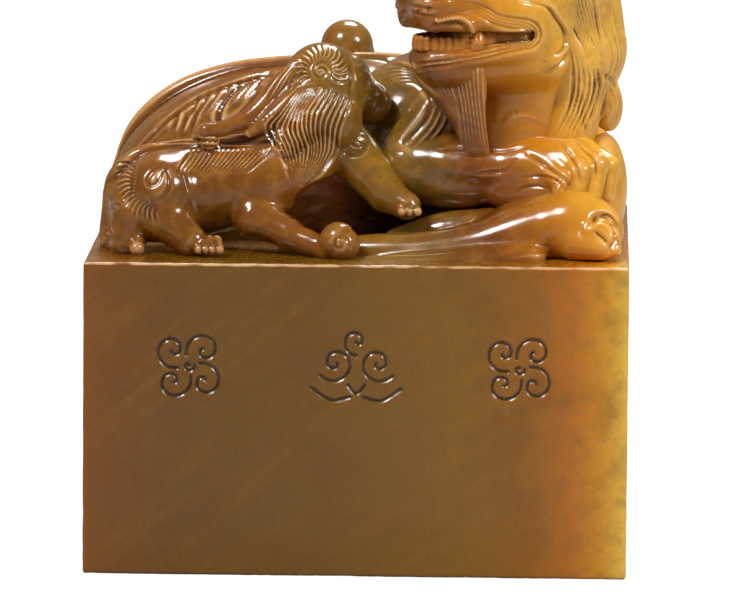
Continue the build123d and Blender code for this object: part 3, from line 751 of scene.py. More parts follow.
@dataclass(frozen=True)
class Soapstone:
    """Polished soapstone: waxy, a little translucent, cloudy amber with olive and brown zones.

    The eye sees a soft gloss over colour under the surface and dark specks of a fraction of a
    millimetre; painted shade darkens and reddens the cuts, and a painted highlight pales the ridges.
    Sizes are millimetres.
    """

    part: StonePart
    zones: tuple[tuple[float, str], ...]
    cloud_code: str
    deep_code: str
    hollow_shade_code: str = "#55240c"
    # Painted highlight: the pale colour that ridges take, as where light catches them.
    ridge_highlight_code: str = "#dba468"
    # Painted shade for recesses and the mouth; on the block this colour is the ornament's ink.
    shade_and_ink_code: str = "#46180a"
    vein_code: str = "#b07a2a"
    cloud_size: float = 9.0
    cloud_share: float = 0.35
    deep_share: float = 0.4
    vein_size: float = 1.1
    vein_share: float = 0.22
    vein_stretch: float = 9.0
    vein_tilt: float = -38.0
    speck_code: str = "#3f220c"
    speck_size: float = 0.35
    speck_share: float = 0.55
    scratch_size: float = 0.6
    scratch_depth: float = 0.06
    wander: float = 3.0
    fade_back: float = 0.15
    # Painted glow, partly the stone's tone: higher places clear towards amber, as the lit head does.
    upward_tone_and_glow: float = 0.0
    hollow_shade_share: float = 0.8
    ridge_highlight_share: float = 0.55
    shade_and_ink_share: float = 0.85
    roughness: float = 0.3
    ior: float = 1.56
    coat: float = 0.15
    coat_roughness: float = 0.1
    glow: float = 0.35
    glow_depth: float = 1.6
    glow_reach: tuple[float, float, float] = (1.0, 0.38, 0.12)

    def build(self) -> Material:
        """Makes the material."""
        material = bpy.data.materials.new(f"polished_soapstone_{self.part.value}")
        tree = Tree(material)
        place = tree.node("ShaderNodeTexCoord").outputs["Object"]
        to_mm = {"operation": "SCALE", 3: 1 / METRES_PER_MM}
        in_mm = tree.node("ShaderNodeVectorMath", to_mm, {0: place}).outputs[0]
        grain = tree.noise(in_mm, self.scratch_size, 6.0, 0.7)
        scratches = {"Strength": 0.15, "Distance": self.scratch_depth * METRES_PER_MM}
        shader = tree.node(
            "ShaderNodeBsdfPrincipled",
            {
                "IOR": self.ior,
                "Subsurface Weight": self.glow,
                "Subsurface Scale": self.glow_depth * METRES_PER_MM,
                "Subsurface Radius": self.glow_reach,
                "Coat Weight": self.coat,
                "Coat Roughness": self.coat_roughness,
            },
            {
                "Base Color": self.carved(tree, self.stone(tree, in_mm)),
                "Roughness": tree.spread(grain, 0.3, 0.7, self.roughness * 0.8, self.roughness * 1.35),
                "Normal": tree.node("ShaderNodeBump", scratches, {"Height": grain}).outputs[0],
            },
        )
        tree.end(shader)
        return material

    def stone(self, tree: Tree, in_mm: Socket) -> Socket:
        """The uncut stone's colour: zones under clouds, veins and specks."""
        cloud = tree.noise(in_mm, self.cloud_size, 5.0, 0.6)
        fine = tree.noise(in_mm, self.cloud_size / 6, 4.0, 0.65)
        stretch = (self.vein_stretch, 1.0, 1.0)
        tilt = (0.0, math.radians(self.vein_tilt), 0.0)
        turned = {"vector_type": "TEXTURE", "Rotation": tilt, "Scale": stretch}
        along = tree.node("ShaderNodeMapping", turned, {0: in_mm}).outputs[0]
        vein = tree.noise(along, self.vein_size, 3.0, 0.5)
        speck = tree.noise(in_mm, self.speck_size, 2.0, 0.5)
        colour = tree.ramp(self.across(tree, in_mm, cloud), self.zones)
        colour = tree.over(colour, tree.spread(fine, 0.42, 0.72), self.cloud_share, self.cloud_code)
        colour = tree.over(colour, tree.spread(cloud, 0.5, 0.3), self.deep_share, self.deep_code)
        colour = tree.over(colour, tree.spread(vein, 0.5, 0.75), self.vein_share, self.vein_code)
        return tree.over(colour, tree.spread(speck, 0.68, 0.78), self.speck_share, self.speck_code)

    def carved(self, tree: Tree, colour: Socket) -> Socket:
        """The colour with painted shade in hollows, a painted highlight on ridges, and the skin's painted
        shade and ink, from its own measures.
        """
        relief, shade_and_ink = tree.measure("relief"), tree.measure("shade_and_ink")
        # Painted shade: hollows and cuts darken and redden, as where shade falls in them.
        colour = tree.over(colour, tree.spread(relief, 0.008, 0.1), self.hollow_shade_share, self.hollow_shade_code)
        # Painted highlight: ridges turn a pale pinkish white, as where light catches them.
        colour = tree.over(colour, tree.spread(relief, -0.012, -0.07), self.ridge_highlight_share, self.ridge_highlight_code)
        # Painted shade in recesses and in the mouth; on the block, ink in the ornament's lines.
        return tree.over(colour, shade_and_ink, self.shade_and_ink_share, self.shade_and_ink_code)

    def across(self, tree: Tree, in_mm: Socket, cloud: Socket) -> Socket:
        """How far to the amber side a place lies, from 0 to 1: it clears to the right and upwards, partly
        the stone's own zones and partly painted glow of light through the stone.
        """
        axes = tree.node("ShaderNodeSeparateXYZ", links={0: in_mm}).outputs
        half = float(BLOCK_HIGH[0])
        value = axes[0]
        for socket, slope in ((cloud, self.wander), (axes[1], -self.fade_back), (axes[2], self.upward_tone_and_glow)):
            times = {"operation": "MULTIPLY_ADD", 1: slope}
            value = tree.node("ShaderNodeMath", times, {0: socket, 2: value}).outputs[0]
        level = 0.5 * self.wander + self.fade_back * half + self.upward_tone_and_glow * (TABLE + 8.0)
        settings = {"interpolation_type": "LINEAR", 1: level - half, 2: level + half}
        return tree.node("ShaderNodeMapRange", settings, {0: value}).outputs[0]


BLOCK_FINISH = Soapstone(
    part=StonePart.BLOCK,
    # The pale stops at the right end are partly painted glow, as light shines through the block's right
    # edge, and partly the stone's own amber.
    zones=(
        (0.0, "#804b04"),
        (0.06, "#784604"),
        (0.17, "#6e4702"),
        (0.3, "#714b02"),
        (0.45, "#754f04"),
        (0.6, "#7f5506"),
        (0.7, "#865a06"),
        (0.83, "#965c06"),
        (0.9, "#b86c0a"),
        (0.955, "#d08e14"),
        (1.0, "#e4bc48"),
    ),
    cloud_code="#7c500a",
    deep_code="#6c3e04",
    vein_code="#9c6808",
    shade_and_ink_code="#231d18",
    # Painted highlight along the worn front top edge, which is the block's only ridge.
    ridge_highlight_code="#f0c8a0",
    wander=1.6,
    fade_back=0.3,
    roughness=0.26,
)
FIGURE_FINISH = Soapstone(
    part=StonePart.FIGURES,
    # The pale stops at the right end, which height also reaches, are partly painted glow and highlight of
    # the lit cheek and mane, and partly the stone's own amber.
    zones=(
        (0.0, "#7c4a0e"),
        (0.2, "#70400c"),
        (0.36, "#885010"),
        (0.5, "#7c5a1a"),
        (0.6, "#6e4f1c"),
        (0.68, "#733c10"),
        (0.76, "#a25f12"),
        (0.84, "#ca821c"),
        (0.91, "#eaaa34"),
        (1.0, "#f4be50"),
    ),
    cloud_code="#b57f24",
    deep_code="#7c3808",
    # Painted highlight on the figures' ridges.
    ridge_highlight_code="#eebc80",
    wander=2.4,
    fade_back=0.12,
    upward_tone_and_glow=0.42,
    roughness=0.17,
)
MOUTH_FINISH = Soapstone(
    part=StonePart.MOUTH,
    zones=((0.0, "#bc6e22"), (1.0, "#cc8028")),
    cloud_code="#cc8430",
    deep_code="#7a300c",
    roughness=0.22,
)


@dataclass(frozen=True)
class SealBlock:
    """The square block, with arrises rounded by wear, ornament on its front and a fret underneath.

    Sizes are millimetres.
    """

    arris: float = 0.28
    wave: float = 0.05
    front_spacing: float = 0.12
    plain_spacing: float = 0.8
    border_inset: float = 2.2
    groove_width: float = 0.9
    groove_depth: float = 0.8
    wall: float = 0.08
    fret_pitch: float = 2.4
    fret_legs: int = 16
    ornament_size: float = 7.8
    ornament_row: float = 19.4
    ornament_places: tuple[float, ...] = (-15.3, 0.1, 15.0)
    ornament_width: float = 0.14
    ornament_depth: float = 0.22
    least_gap: float = 0.03

    def fret_rails(self) -> tuple[list[tuple], list[float]]:
        """The fret's grooves as rectangles, and the places of their walls along an axis.

        Returns:
            Rectangles as (low x, low y, high x, high y), and sorted wall places.
        """
        half = float(BLOCK_HIGH[0])
        inner = half - self.border_inset - self.groove_width
        outer = half - self.border_inset
        boxes = [(-outer, -outer, outer, -inner), (-outer, inner, outer, outer)]
        boxes += [(-outer, -outer, -inner, outer), (inner, -outer, outer, outer)]
        offset = self.fret_pitch * (self.fret_legs / 4 + 0.5)
        reach = self.groove_width / 2
        for column in (-1, 1):
            for row in (-1, 1):
                x, y = column * offset, row * offset
                dx, dy = column * self.fret_pitch, 0.0
                for leg in range(self.fret_legs):
                    far_x, far_y = x + dx * (leg // 2 + 1), y + dy * (leg // 2 + 1)
                    low, high = (min(x, far_x), min(y, far_y)), (max(x, far_x), max(y, far_y))
                    boxes.append((low[0] - reach, low[1] - reach, high[0] + reach, high[1] + reach))
                    turn = column * row
                    dx, dy = -dy * turn, dx * turn
                    x, y = far_x, far_y
        walls = sorted({round(value, 3) for box in boxes for value in box})
        return boxes, walls

    def lines(
        self, low: float, high: float, fine: tuple[float, float, float] | None, walls: list[float]
    ) -> np.ndarray:
        """Grid lines from low to high, close together in a fine stretch and at walls."""
        marks = list(np.linspace(low, high, int((high - low) / self.plain_spacing) + 1))
        for share in (0.0, 0.15, 0.4, 0.7, 1.0):
            marks += [low + share * self.arris * 1.5, high - share * self.arris * 1.5]
        if fine:
            marks += list(np.arange(fine[0], fine[1], fine[2]))
        for wall in walls:
            marks += [wall - self.wall / 2, wall + self.wall / 2]
        marks = np.unique(np.round(np.clip(marks, low, high), 3))
        keep = np.concatenate([[True], np.diff(marks) > self.least_gap])
        return marks[keep]

    def knot(self, x: float, z: float) -> list[Path]:
        """Strokes of four spirals that stand round a place on the front."""
        half = self.ornament_size / 2
        strokes: list[Path] = []
        for angle in (45, 135, 225, 315):
            ray = np.array([math.cos(math.radians(angle)), math.sin(math.radians(angle))])
            strokes.append(spiral(np.array([x, z]) + ray * half * 0.52, half * 0.44, 1.3, angle + 150))
        return strokes + [spiral((x, z), half * 0.14, 1.0, 0)]

    def cloud(self, x: float, z: float) -> list[Path]:
        """Strokes of a small cloud round a place on the front: three spirals over two waves."""
        half = self.ornament_size / 2

        def at(across: float, up: float) -> tuple[float, float]:
            """A place in half widths from the middle."""
            return (x + across * half, z + up * half)

        strokes: list[Path] = []
        for side in (-1, 1):
            strokes.append(spiral(at(side * 0.5, 0.1), half * 0.46, 1.5, 90 - side * 130, side))
            strokes.append([at(side * 0.15, -0.7), at(side * 0.6, -0.78), at(side * 1.05, -0.5)])
        strokes.append(spiral(at(0, 0.62), half * 0.34, 1.2, -90))
        return strokes + [[at(-0.2, -0.42), at(0, -0.62), at(0.2, -0.42)]]

    def build(self, material: Material) -> bpy.types.Object:
        """Makes the block and works its edges, its foot and its front."""
        boxes, walls = self.fret_rails()
        skin = self.closed_grid(walls)
        flat = skin.points.copy()
        self.wear_edges(skin, flat)
        self.cut_fret(skin, flat, boxes)
        self.cut_ornament(skin, flat)
        return skin.piece("seal_block_stone", material, ["seal_block"], StonePart.BLOCK)

    def closed_grid(self, walls: list[float]) -> Skin:
        """The plain block as one closed grid over its six faces.

        Args:
            walls: places along x and y where the foot's grooves have a wall.

        Returns:
            The block's skin.
        """
        low, high = BLOCK_LOW, BLOCK_HIGH
        reach = self.ornament_size / 2 + 1
        fine_x = (self.ornament_places[0] - reach, self.ornament_places[-1] + reach, self.front_spacing)
        fine_z = (self.ornament_row - reach, self.ornament_row + reach, self.front_spacing)
        grid = [
            self.lines(low[0], high[0], fine_x, walls),
            self.lines(low[1], high[1], None, walls),
            self.lines(low[2], high[2], fine_z, [self.groove_depth]),
        ]
        index: dict[tuple[int, ...], int] = {}
        points: list[PointMM] = []
        quads: list[list[int]] = []
        last = [len(axis) - 1 for axis in grid]

        def corner(*spot: int) -> int:
            """The index of a grid point, made on first use."""
            if spot not in index:
                index[spot] = len(points)
                points.append(tuple(marks[k] for marks, k in zip(grid, spot)))
            return index[spot]

        for axis in range(3):
            first, second = [k for k in range(3) if k != axis]
            for end, a, b in itertools.product((0, last[axis]), range(last[first]), range(last[second])):
                ring = []
                for da, db in ((0, 0), (1, 0), (1, 1), (0, 1)):
                    spot = [0, 0, 0]
                    spot[axis], spot[first], spot[second] = end, a + da, b + db
                    ring.append(corner(*spot))
                inward = (end == 0) == (axis != 1)
                quads.append(ring[::-1] if inward else ring)
        return Skin(np.array(points), np.array(quads, np.int64))

    def wear_edges(self, skin: Skin, flat: np.ndarray) -> None:
        """Rounds the block's edges, unevenly as wear does, and pales the front one: worn stone with a
        painted highlight along it.

        Args:
            skin: the block's skin.
            flat: its vertices before any work.
        """
        low, high = BLOCK_LOW, BLOCK_HIGH
        core = np.clip(flat, low + self.arris, high - self.arris)
        away = flat - core
        length = np.linalg.norm(away, axis=1)
        wear = wavy(flat, 1.7, 3) * 0.35 + wavy(flat, 0.7, 4) * 0.25
        reach = self.arris * (1 - 0.25 * np.clip(wear, -0.2, 1))
        outward = away / np.maximum(length, 1e-9)[:, None]
        rounded = core + outward * np.minimum(reach, length.clip(1e-9) * 2)[:, None]
        skin.points = np.where((length > 1e-9)[:, None], rounded, flat)
        # Painted highlight along the front top edge, with its wear: it counts as a ridge and takes the
        # ridges' pale colour.
        front_top = (flat[:, 1] < low[1] + self.arris) & (flat[:, 2] > high[2] - self.arris)
        skin.wear_and_highlight = np.where(front_top, 0.06 + 0.05 * wavy(flat, 0.9, 5), 0.0)
        skin.relief_rounds = 0

    def cut_fret(self, skin: Skin, flat: np.ndarray, boxes: list[tuple]) -> None:
        """Sinks the fret's grooves into the stamping face."""
        cut = np.zeros(len(flat), bool)
        for x0, y0, x1, y1 in boxes:
            cut |= (flat[:, 0] > x0) & (flat[:, 0] < x1) & (flat[:, 1] > y0) & (flat[:, 1] < y1)
        on_foot = flat[:, 2] <= BLOCK_LOW[2] + 1e-6
        skin.points[on_foot & cut, 2] = BLOCK_LOW[2] + self.groove_depth

    def cut_ornament(self, skin: Skin, flat: np.ndarray) -> None:
        """Engraves the front's ornament and fills its lines with dark ink."""
        left, middle, right = self.ornament_places
        row = self.ornament_row
        strokes = self.knot(left, row) + self.cloud(middle, row) + self.knot(right, row)
        sight = Sight(right=(1, 0, 0), up=(0, 0, 1), toward=(0, -1, 0))
        before = skin.points[:, 1].copy()
        graver = Graver(sight, self.ornament_width, self.ornament_depth, False)
        graver.cut(skin, strokes, flat[:, 1] <= BLOCK_LOW[1] + 1e-6)
        skin.shaded_and_inked = np.clip((skin.points[:, 1] - before) / self.ornament_depth * 3 - 0.8, 0, 1)


@dataclass(frozen=True)
class LionessBody:
    """The lioness's trunk, from the rump at the left to the chest and neck at the right.

    Places are millimetres over the table, and the strokes seen from the front are frame pixels.
    """

    voxel: float = 0.2
    low: PointMM = (-25.0, -14.5, -SINK - 0.4)
    high: PointMM = (25.0, 21.0, 22.5)
    back_line_px: Path = ((155, 151.5), (183, 149), (224, 149), (244, 149), (274, 144))
    back_lower_px: Path = ((114, 200), (128, 166), (156, 131), (192, 102), (232, 84), (268, 75), (300, 71))
    flank_first_px: Path = ((200, 96), (192, 110), (184, 121))
    flank_last_px: Path = ((272, 70), (256, 84), (246, 96))
    patch_first_px: Path = ((178, 113), (172, 131))
    patch_last_px: Path = ((197, 110), (189, 131))
    leaf_px: Path = ((256, 78), (236, 88), (222, 104), (219, 121), (236, 118), (252, 102), (258, 86))
    shoulder_first_px: Path = ((380, 66), (398, 64), (418, 74), (434, 92))
    shoulder_last_px: Path = ((402, 82), (414, 82), (426, 92), (434, 104))
    fold_first_px: Path = ((432, 104), (424, 122), (406, 142))
    fold_last_px: Path = ((452, 112), (444, 132), (424, 152))
    neck_first_px: Path = ((500, 112), (515, 108), (530, 116), (540, 130))
    neck_last_px: Path = ((512, 108), (528, 108), (540, 118), (548, 132))
    trunk: Shapes = (
        (Limb((-9.6, 7.0, 2.9), (0.6, 7.3, 3.6), 11.8, 12.1), 1.0),
        (Limb((-14.2, 4.4, 2.4), (-13.9, 10.9, 3.0), 10.1, 9.7), 2.0),
        (Limb((-14.6, 16.6, 4.4), (-9.4, 17.2, 2.6), 4.8, 4.1), 1.6),
        (Limb((3.3, -1.3, 7.4), (5.1, -2.0, 9.8), 6.9, 7.1), 1.2),
        (Limb((11.2, 0.7, 6.3), (14.6, -1.2, 7.5), 8.6, 8.5), 1.4),
        (Limb((9.7, 11.0, 5.6), (13.6, 10.3, 6.7), 7.7, 7.5), 1.4),
        (Limb((13.5, -4.9, 12.0), (14.7, -6.5, 15.2), 7.0, 6.9), 1.6),
        (Lump((20.2, -5.0, 4.4), (4.4, 5.0, 6.6), 10.0), 2.0),
        (Lump((22.6, -10.4, 5.6), (2.2, 3.0, 5.2), 0.0), 1.4),
        (Rope(((4.0, 2.0, 14.9), (7.6, -0.6, 16.0), (11.6, -3.6, 18.4)), (1.6, 2.0, 2.4)), 2.0),
        (Limb((7.6, -9.6, 13.4), (4.6, -10.4, 8.8), 2.4, 2.7), 1.6),
    )
    spine: Rope = Rope(
        (
            (-24.0, 7.5, 4.5), (-22.0, 7.4, 9.2), (-18.2, 7.4, 12.5), (-13.0, 7.4, 14.4), (-6.5, 7.3, 15.2),
            (0.5, 7.0, 15.6), (6.0, 5.0, 15.6),
        ),
        (0.5, 0.62, 0.72, 0.78, 0.78, 0.74, 0.6),
    )
    hollows: Shapes = (
        (Lump((-12.6, -4.2, 8.4), (2.4, 1.1, 2.0), 35.0, 40.0), 0.9),
        (Limb((7.4, -11.6, 3.4), (13.0, -12.4, 3.2), 1.6, 1.4), 0.8),
    )
    # The rough hollow under the near cub, darkened with painted shade as where shade falls under it.
    cave: Lump = Lump((-1.6, -5.6, 3.6), (6.6, 4.2, 4.6))

    def build(self, material: Material) -> bpy.types.Object:
        """Sculpts and cuts the trunk."""
        clay = Clay(self.low, self.high, self.voxel)
        clay.add_all(self.trunk)
        clay.add(self.spine, 0.5)
        clay.cut_all(self.hollows)
        clay.keep_above(-SINK).keep_inside()
        skin = clay.skin()
        # Painted shade in the hollow under the near cub.
        skin.shade_and_ink(self.cave, 1.2, 0.95)
        skin.push(0.07 * skin.shaded_and_inked * wavy(skin.points, 0.8, 6))
        Graver(FRONT, 0.2, 0.16).cut(skin, [self.back_line_px, self.back_lower_px])
        Graver(FRONT, 0.14, 0.1).cut(skin, comb(self.back_line_px, self.back_lower_px, 2))
        Graver(FRONT, 0.18, 0.2).cut(skin, comb(self.flank_first_px, self.flank_last_px, 8))
        Graver(FRONT, 0.22, 0.24).cut(skin, comb(self.patch_first_px, self.patch_last_px, 3))
        Graver(FRONT, 0.26, 0.36).cut(skin, [self.leaf_px])
        Graver(FRONT, 0.2, 0.22).cut(skin, comb(self.shoulder_first_px, self.shoulder_last_px, 6))
        Graver(FRONT, 0.32, 0.38).cut(skin, comb(self.fold_first_px, self.fold_last_px, 4))
        Graver(FRONT, 0.18, 0.16).cut(skin, comb(self.neck_first_px, self.neck_last_px, 3))
        self.carve_back(skin)
        nodes = [
            "mother_torso", "mother_rump", "mother_far_haunch", "mother_spine", "mother_shoulder",
            "mother_chest", "mother_far_shoulder", "mother_neck",
        ]
        return skin.piece("lioness_body", material, nodes)

    def carve_back(self, skin: Skin) -> None:
        """Cuts what shows from behind, above and the sides."""
        ribs = comb(((-18.5, 9.0), (-17.5, 14.0)), ((3.5, 9.6), (4.5, 14.5)), 20)
        Graver(TOP, 0.17, 0.14).cut(skin, ribs)
        Graver(BACK, 0.2, 0.2).cut(
            skin, [spiral((14.0, 6.0), 3.6, 1.8, 120), spiral((-11.5, 8.0), 3.4, 1.8, 60, -1)]
        )
        hair = comb(
            ((-17.5, 8.5), (-19.0, 5.5), (-18.0, 2.0)), ((-12.5, 12.0), (-15.0, 7.5), (-15.0, 2.0)), 9
        )
        Graver(BACK, 0.17, 0.15).cut(skin, hair)
        hair = comb(((17.5, 9.5), (19.0, 6.5), (18.5, 2.5)), ((20.5, 8.0), (22.0, 5.0), (22.0, 2.0)), 7)
        Graver(BACK, 0.17, 0.15).cut(skin, hair)
        Graver(RIGHT, 0.2, 0.2).cut(skin, [spiral((11.5, 8.0), 3.0, 1.7, 200)])
        Graver(LEFT, 0.2, 0.2).cut(skin, [spiral((-5.0, 5.0), 3.2, 1.7, 20)])


@dataclass(frozen=True)
class LionessLegs:
    """The lioness's near legs at the right front corner and her far legs behind."""

    voxel: float = 0.13
    toe_lines_px: tuple[Path, ...] = (
        ((528, 154), (546, 166), (562, 177), (570, 186)),
        ((560, 141), (571, 156), (577, 170), (581, 184)),
        ((576, 141), (587, 152), (595, 164), (596, 180)),
    )
    sinews_px: tuple[Path, ...] = (
        ((476, 174), (492, 172), (505, 170), (515, 160)),
        ((440, 150), (470, 148), (500, 152), (524, 147), (546, 140)),
        ((520, 178), (540, 176), (556, 180), (566, 190)),
        ((512, 192), (532, 186), (548, 188)),
    )
    knuckles: tuple[PointMM, ...] = (
        (18.9, -16.9, 7.0), (20.4, -16.9, 7.9), (21.9, -16.2, 8.4), (22.9, -14.8, 8.2)
    )
    claws: tuple[PointMM, ...] = (
        (18.4, -17.6, 5.6), (20.0, -17.9, 5.0), (21.6, -17.5, 5.0), (22.9, -16.0, 5.6)
    )
    scratch_first_px: Path = ((508, 256), (530, 253), (552, 252))
    scratch_last_px: Path = ((510, 252), (534, 246), (553, 247))
    forearm: Shapes = (
        (Limb((4.7, -10.0, 7.4), (9.5, -11.4, 7.0), 3.5, 3.1), 1.0),
        (Limb((8.5, -11.2, 7.2), (16.4, -13.0, 7.5), 3.2, 2.8), 1.5),
        (Limb((16.0, -13.0, 7.7), (19.4, -14.3, 8.1), 2.9, 2.6), 1.2),
        (Limb((14.0, -13.6, 5.4), (18.4, -14.8, 5.2), 1.6, 2.2), 1.6),
    )
    thigh: Shapes = (
        (
            Rope(
                (
                    (-7.0, -15.6, -0.6), (0.0, -16.6, 0.1), (6.0, -17.2, 0.2), (11.0, -17.2, 0.8),
                    (15.5, -17.0, 2.0), (20.0, -17.0, 3.2),
                ),
                (1.0, 1.6, 2.0, 2.4, 3.0, 3.2),
                0.3,
            ),
            0.8,
        ),
        (
            Rope(
                ((6.0, -14.6, -0.2), (11.0, -14.8, 0.8), (15.0, -14.8, 2.4), (20.0, -14.8, 3.6)),
                (1.4, 1.9, 2.6, 2.8),
                0.4,
            ),
            1.2,
        ),
        (Rope(((1.0, -19.6, -0.6), (8.0, -20.2, -0.4), (16.0, -20.0, 0.2)), (0.8, 1.1, 1.3), 0.4), 0.9),
        (Rope(((3.6, -12.4, 0.6), (8.0, -12.9, 1.6), (13.6, -13.2, 2.4)), (1.4, 1.9, 1.8)), 0.5),
        (Limb((19.6, -17.6, 3.0), (22.0, -17.8, 2.6), 2.9, 2.5), 1.0),
    )
    scoop_px: Path = ((424, 168), (450, 182), (486, 186), (520, 182))
    wrist_first_px: Path = ((560, 176), (552, 186))
    wrist_last_px: Path = ((572, 178), (564, 192))
    paw_ring_px: Path = ((588, 226), (598, 216), (608, 216), (616, 226), (617, 240), (610, 250))
    paw_folds_px: tuple[Path, ...] = (
        ((600, 214), (612, 218), (620, 230)),
        ((594, 232), (604, 238), (610, 246)),
    )
    far_wrinkles: tuple[Path, ...] = (
        ((-16.0, 3.5), (-18.5, 2.5), (-20.5, 1.0)),
        ((9.5, 2.5), (7.0, 2.2), (5.0, 1.4)),
    )

    def build(self, material: Material) -> None:
        """Sculpts the legs as three pieces."""
        self.foreleg(material)
        self.hind_leg(material)
        self.far_legs(material)

    def foreleg(self, material: Material) -> bpy.types.Object:
        """The folded foreleg with its paw of four toes."""
        clay = Clay((-2.0, -21.0, -SINK), (25.0, -4.0, 14.0), self.voxel)
        clay.add_all(self.forearm)
        for k, (knuckle, claw) in enumerate(zip(self.knuckles, self.claws)):
            root = (17.0 + k * 1.2, -14.6 + k * 0.5, 8.2 + k * 0.35)
            clay.add(Limb(root, knuckle, 1.5, 1.15), 0.35)
            clay.add(Limb(knuckle, claw, 1.1, 0.72), 0.25)
            tip = tuple(c + d for c, d in zip(claw, (0.25, -0.35, -0.75)))
            clay.add(Limb(claw, tip, 0.5, 0.12), 0.15)
        clay.keep_above(-SINK + 0.3).keep_inside()
        skin = clay.skin()
        Graver(FRONT, 0.22, 0.24).cut(skin, self.toe_lines_px)
        Graver(FRONT, 0.16, 0.16).cut(skin, self.sinews_px)
        Graver(FRONT, 0.9, 0.35).cut(skin, [self.scoop_px])
        Graver(FRONT, 0.13, 0.12).cut(skin, comb(self.wrist_first_px, self.wrist_last_px, 4))
        return skin.piece("lioness_foreleg", material, ["mother_foreleg", "mother_forepaw"])

    def hind_leg(self, material: Material) -> bpy.types.Object:
        """The hind leg along the front edge, with its paw at the corner."""
        clay = Clay((-12.0, -24.0, -SINK - 0.4), (25.0, -8.0, 9.0), self.voxel)
        clay.add_all(self.thigh)
        for k, side in enumerate((-20.1, -18.4, -16.7, -15.2)):
            clay.add(Limb((21.4, side, 2.9 + 0.1 * k), (23.1, side - 0.1, 2.3), 1.05, 1.0), 0.25)
            clay.add(Limb((23.1, side - 0.1, 2.2), (23.7, side - 0.2, 1.1), 0.95, 0.6), 0.25)
        clay.add(Limb((20.0, -19.4, 1.6), (22.4, -20.4, 1.4), 1.7, 1.3), 0.5)
        clay.keep_above(-SINK).keep_inside()
        skin = clay.skin()
        Graver(FRONT, 0.13, 0.12).cut(skin, comb(self.scratch_first_px, self.scratch_last_px, 4))
        Graver(FRONT, 0.3, 0.5).cut(skin, [self.paw_ring_px])
        Graver(FRONT, 0.2, 0.3).cut(skin, self.paw_folds_px)
        return skin.piece("lioness_hind_leg", material, ["mother_hind_leg", "mother_hind_paw"])

    def far_legs(self, material: Material) -> bpy.types.Object:
        """The far forepaw and the far hind paw, behind the trunk."""
        clay = Clay((-16.0, 8.0, -SINK - 0.4), (25.0, 23.0, 8.0), 0.18)
        clay.add(Limb((15.0, 12.6, 3.0), (20.4, 12.8, 2.0), 3.2, 2.2), 1.0)
        for side in (10.9, 12.3, 13.7, 15.0):
            clay.add(Limb((20.2, side, 2.2), (22.4, side, 1.5), 1.1, 0.95), 0.25)
        clay.add(Limb((-9.0, 16.5, 1.8), (-3.6, 17.6, 1.3), 2.5, 1.9), 0.8)
        for side in (16.0, 17.3, 18.6):
            clay.add(Limb((-4.2, side, 1.5), (-1.9, side + 0.1, 1.0), 1.0, 0.85), 0.25)
        clay.keep_above(-SINK)
        skin = clay.skin()
        Graver(BACK, 0.18, 0.16).cut(skin, self.far_wrinkles)
        return skin.piece("lioness_far_paws", material, ["mother_far_forepaw", "mother_far_hind_paw"])


@dataclass(frozen=True)
class LionessTail:
    """The tail, which curls up over the far haunch and ends in a tuft of locks."""

    voxel: float = 0.15
    tail: Rope = Rope(
        ((-21.6, 14.0, 2.6), (-20.4, 17.0, 5.7), (-17.0, 18.3, 8.6), (-13.4, 18.6, 11.0)),
        (1.9, 2.15, 2.1, 1.9),
    )
    # Where each lock of the tuft ends, and its radius there.
    tuft_ends: tuple[tuple[PointMM, float], ...] = (
        ((-8.8, 15.4, 13.4), 1.5),
        ((-8.2, 17.4, 11.4), 1.4),
        ((-10.4, 19.4, 9.4), 1.3),
    )
    hair_first: Path = ((22.6, 4.0), (21.4, 7.0), (18.0, 10.0), (13.6, 12.4))
    hair_last: Path = ((20.4, 2.6), (19.2, 4.6), (16.2, 7.4), (12.8, 9.6))
    # The centre and the radius of each curl on the tuft, seen from behind.
    tuft_curls: tuple[tuple[Sequence[float], float], ...] = (
        ((8.9, 13.4), 1.35),
        ((8.3, 11.3), 1.3),
        ((10.4, 9.3), 1.2),
    )

    def build(self, material: Material) -> bpy.types.Object:
        """Sculpts and cuts the tail."""
        clay = Clay((-24.9, 9.0, 0.0), (-4.0, 25.0, 17.5), self.voxel)
        clay.add(self.tail, 0.5)
        for k, (end, size) in enumerate(self.tuft_ends):
            middle = (-11.0, 17.8, 12.4 - 1.1 * k)
            clay.add(Rope(((-13.6, 18.4, 10.9), middle, end), (1.7, 1.8, size)), 0.3)
        skin = clay.skin()
        Graver(BACK, 0.17, 0.16).cut(skin, comb(self.hair_first, self.hair_last, 6))
        curls = [spiral(centre, radius, 1.6, 150) for centre, radius in self.tuft_curls]
        Graver(BACK, 0.14, 0.15).cut(skin, curls)
        return skin.piece("lioness_tail", material, ["mother_tail", "mother_tail_tuft"])


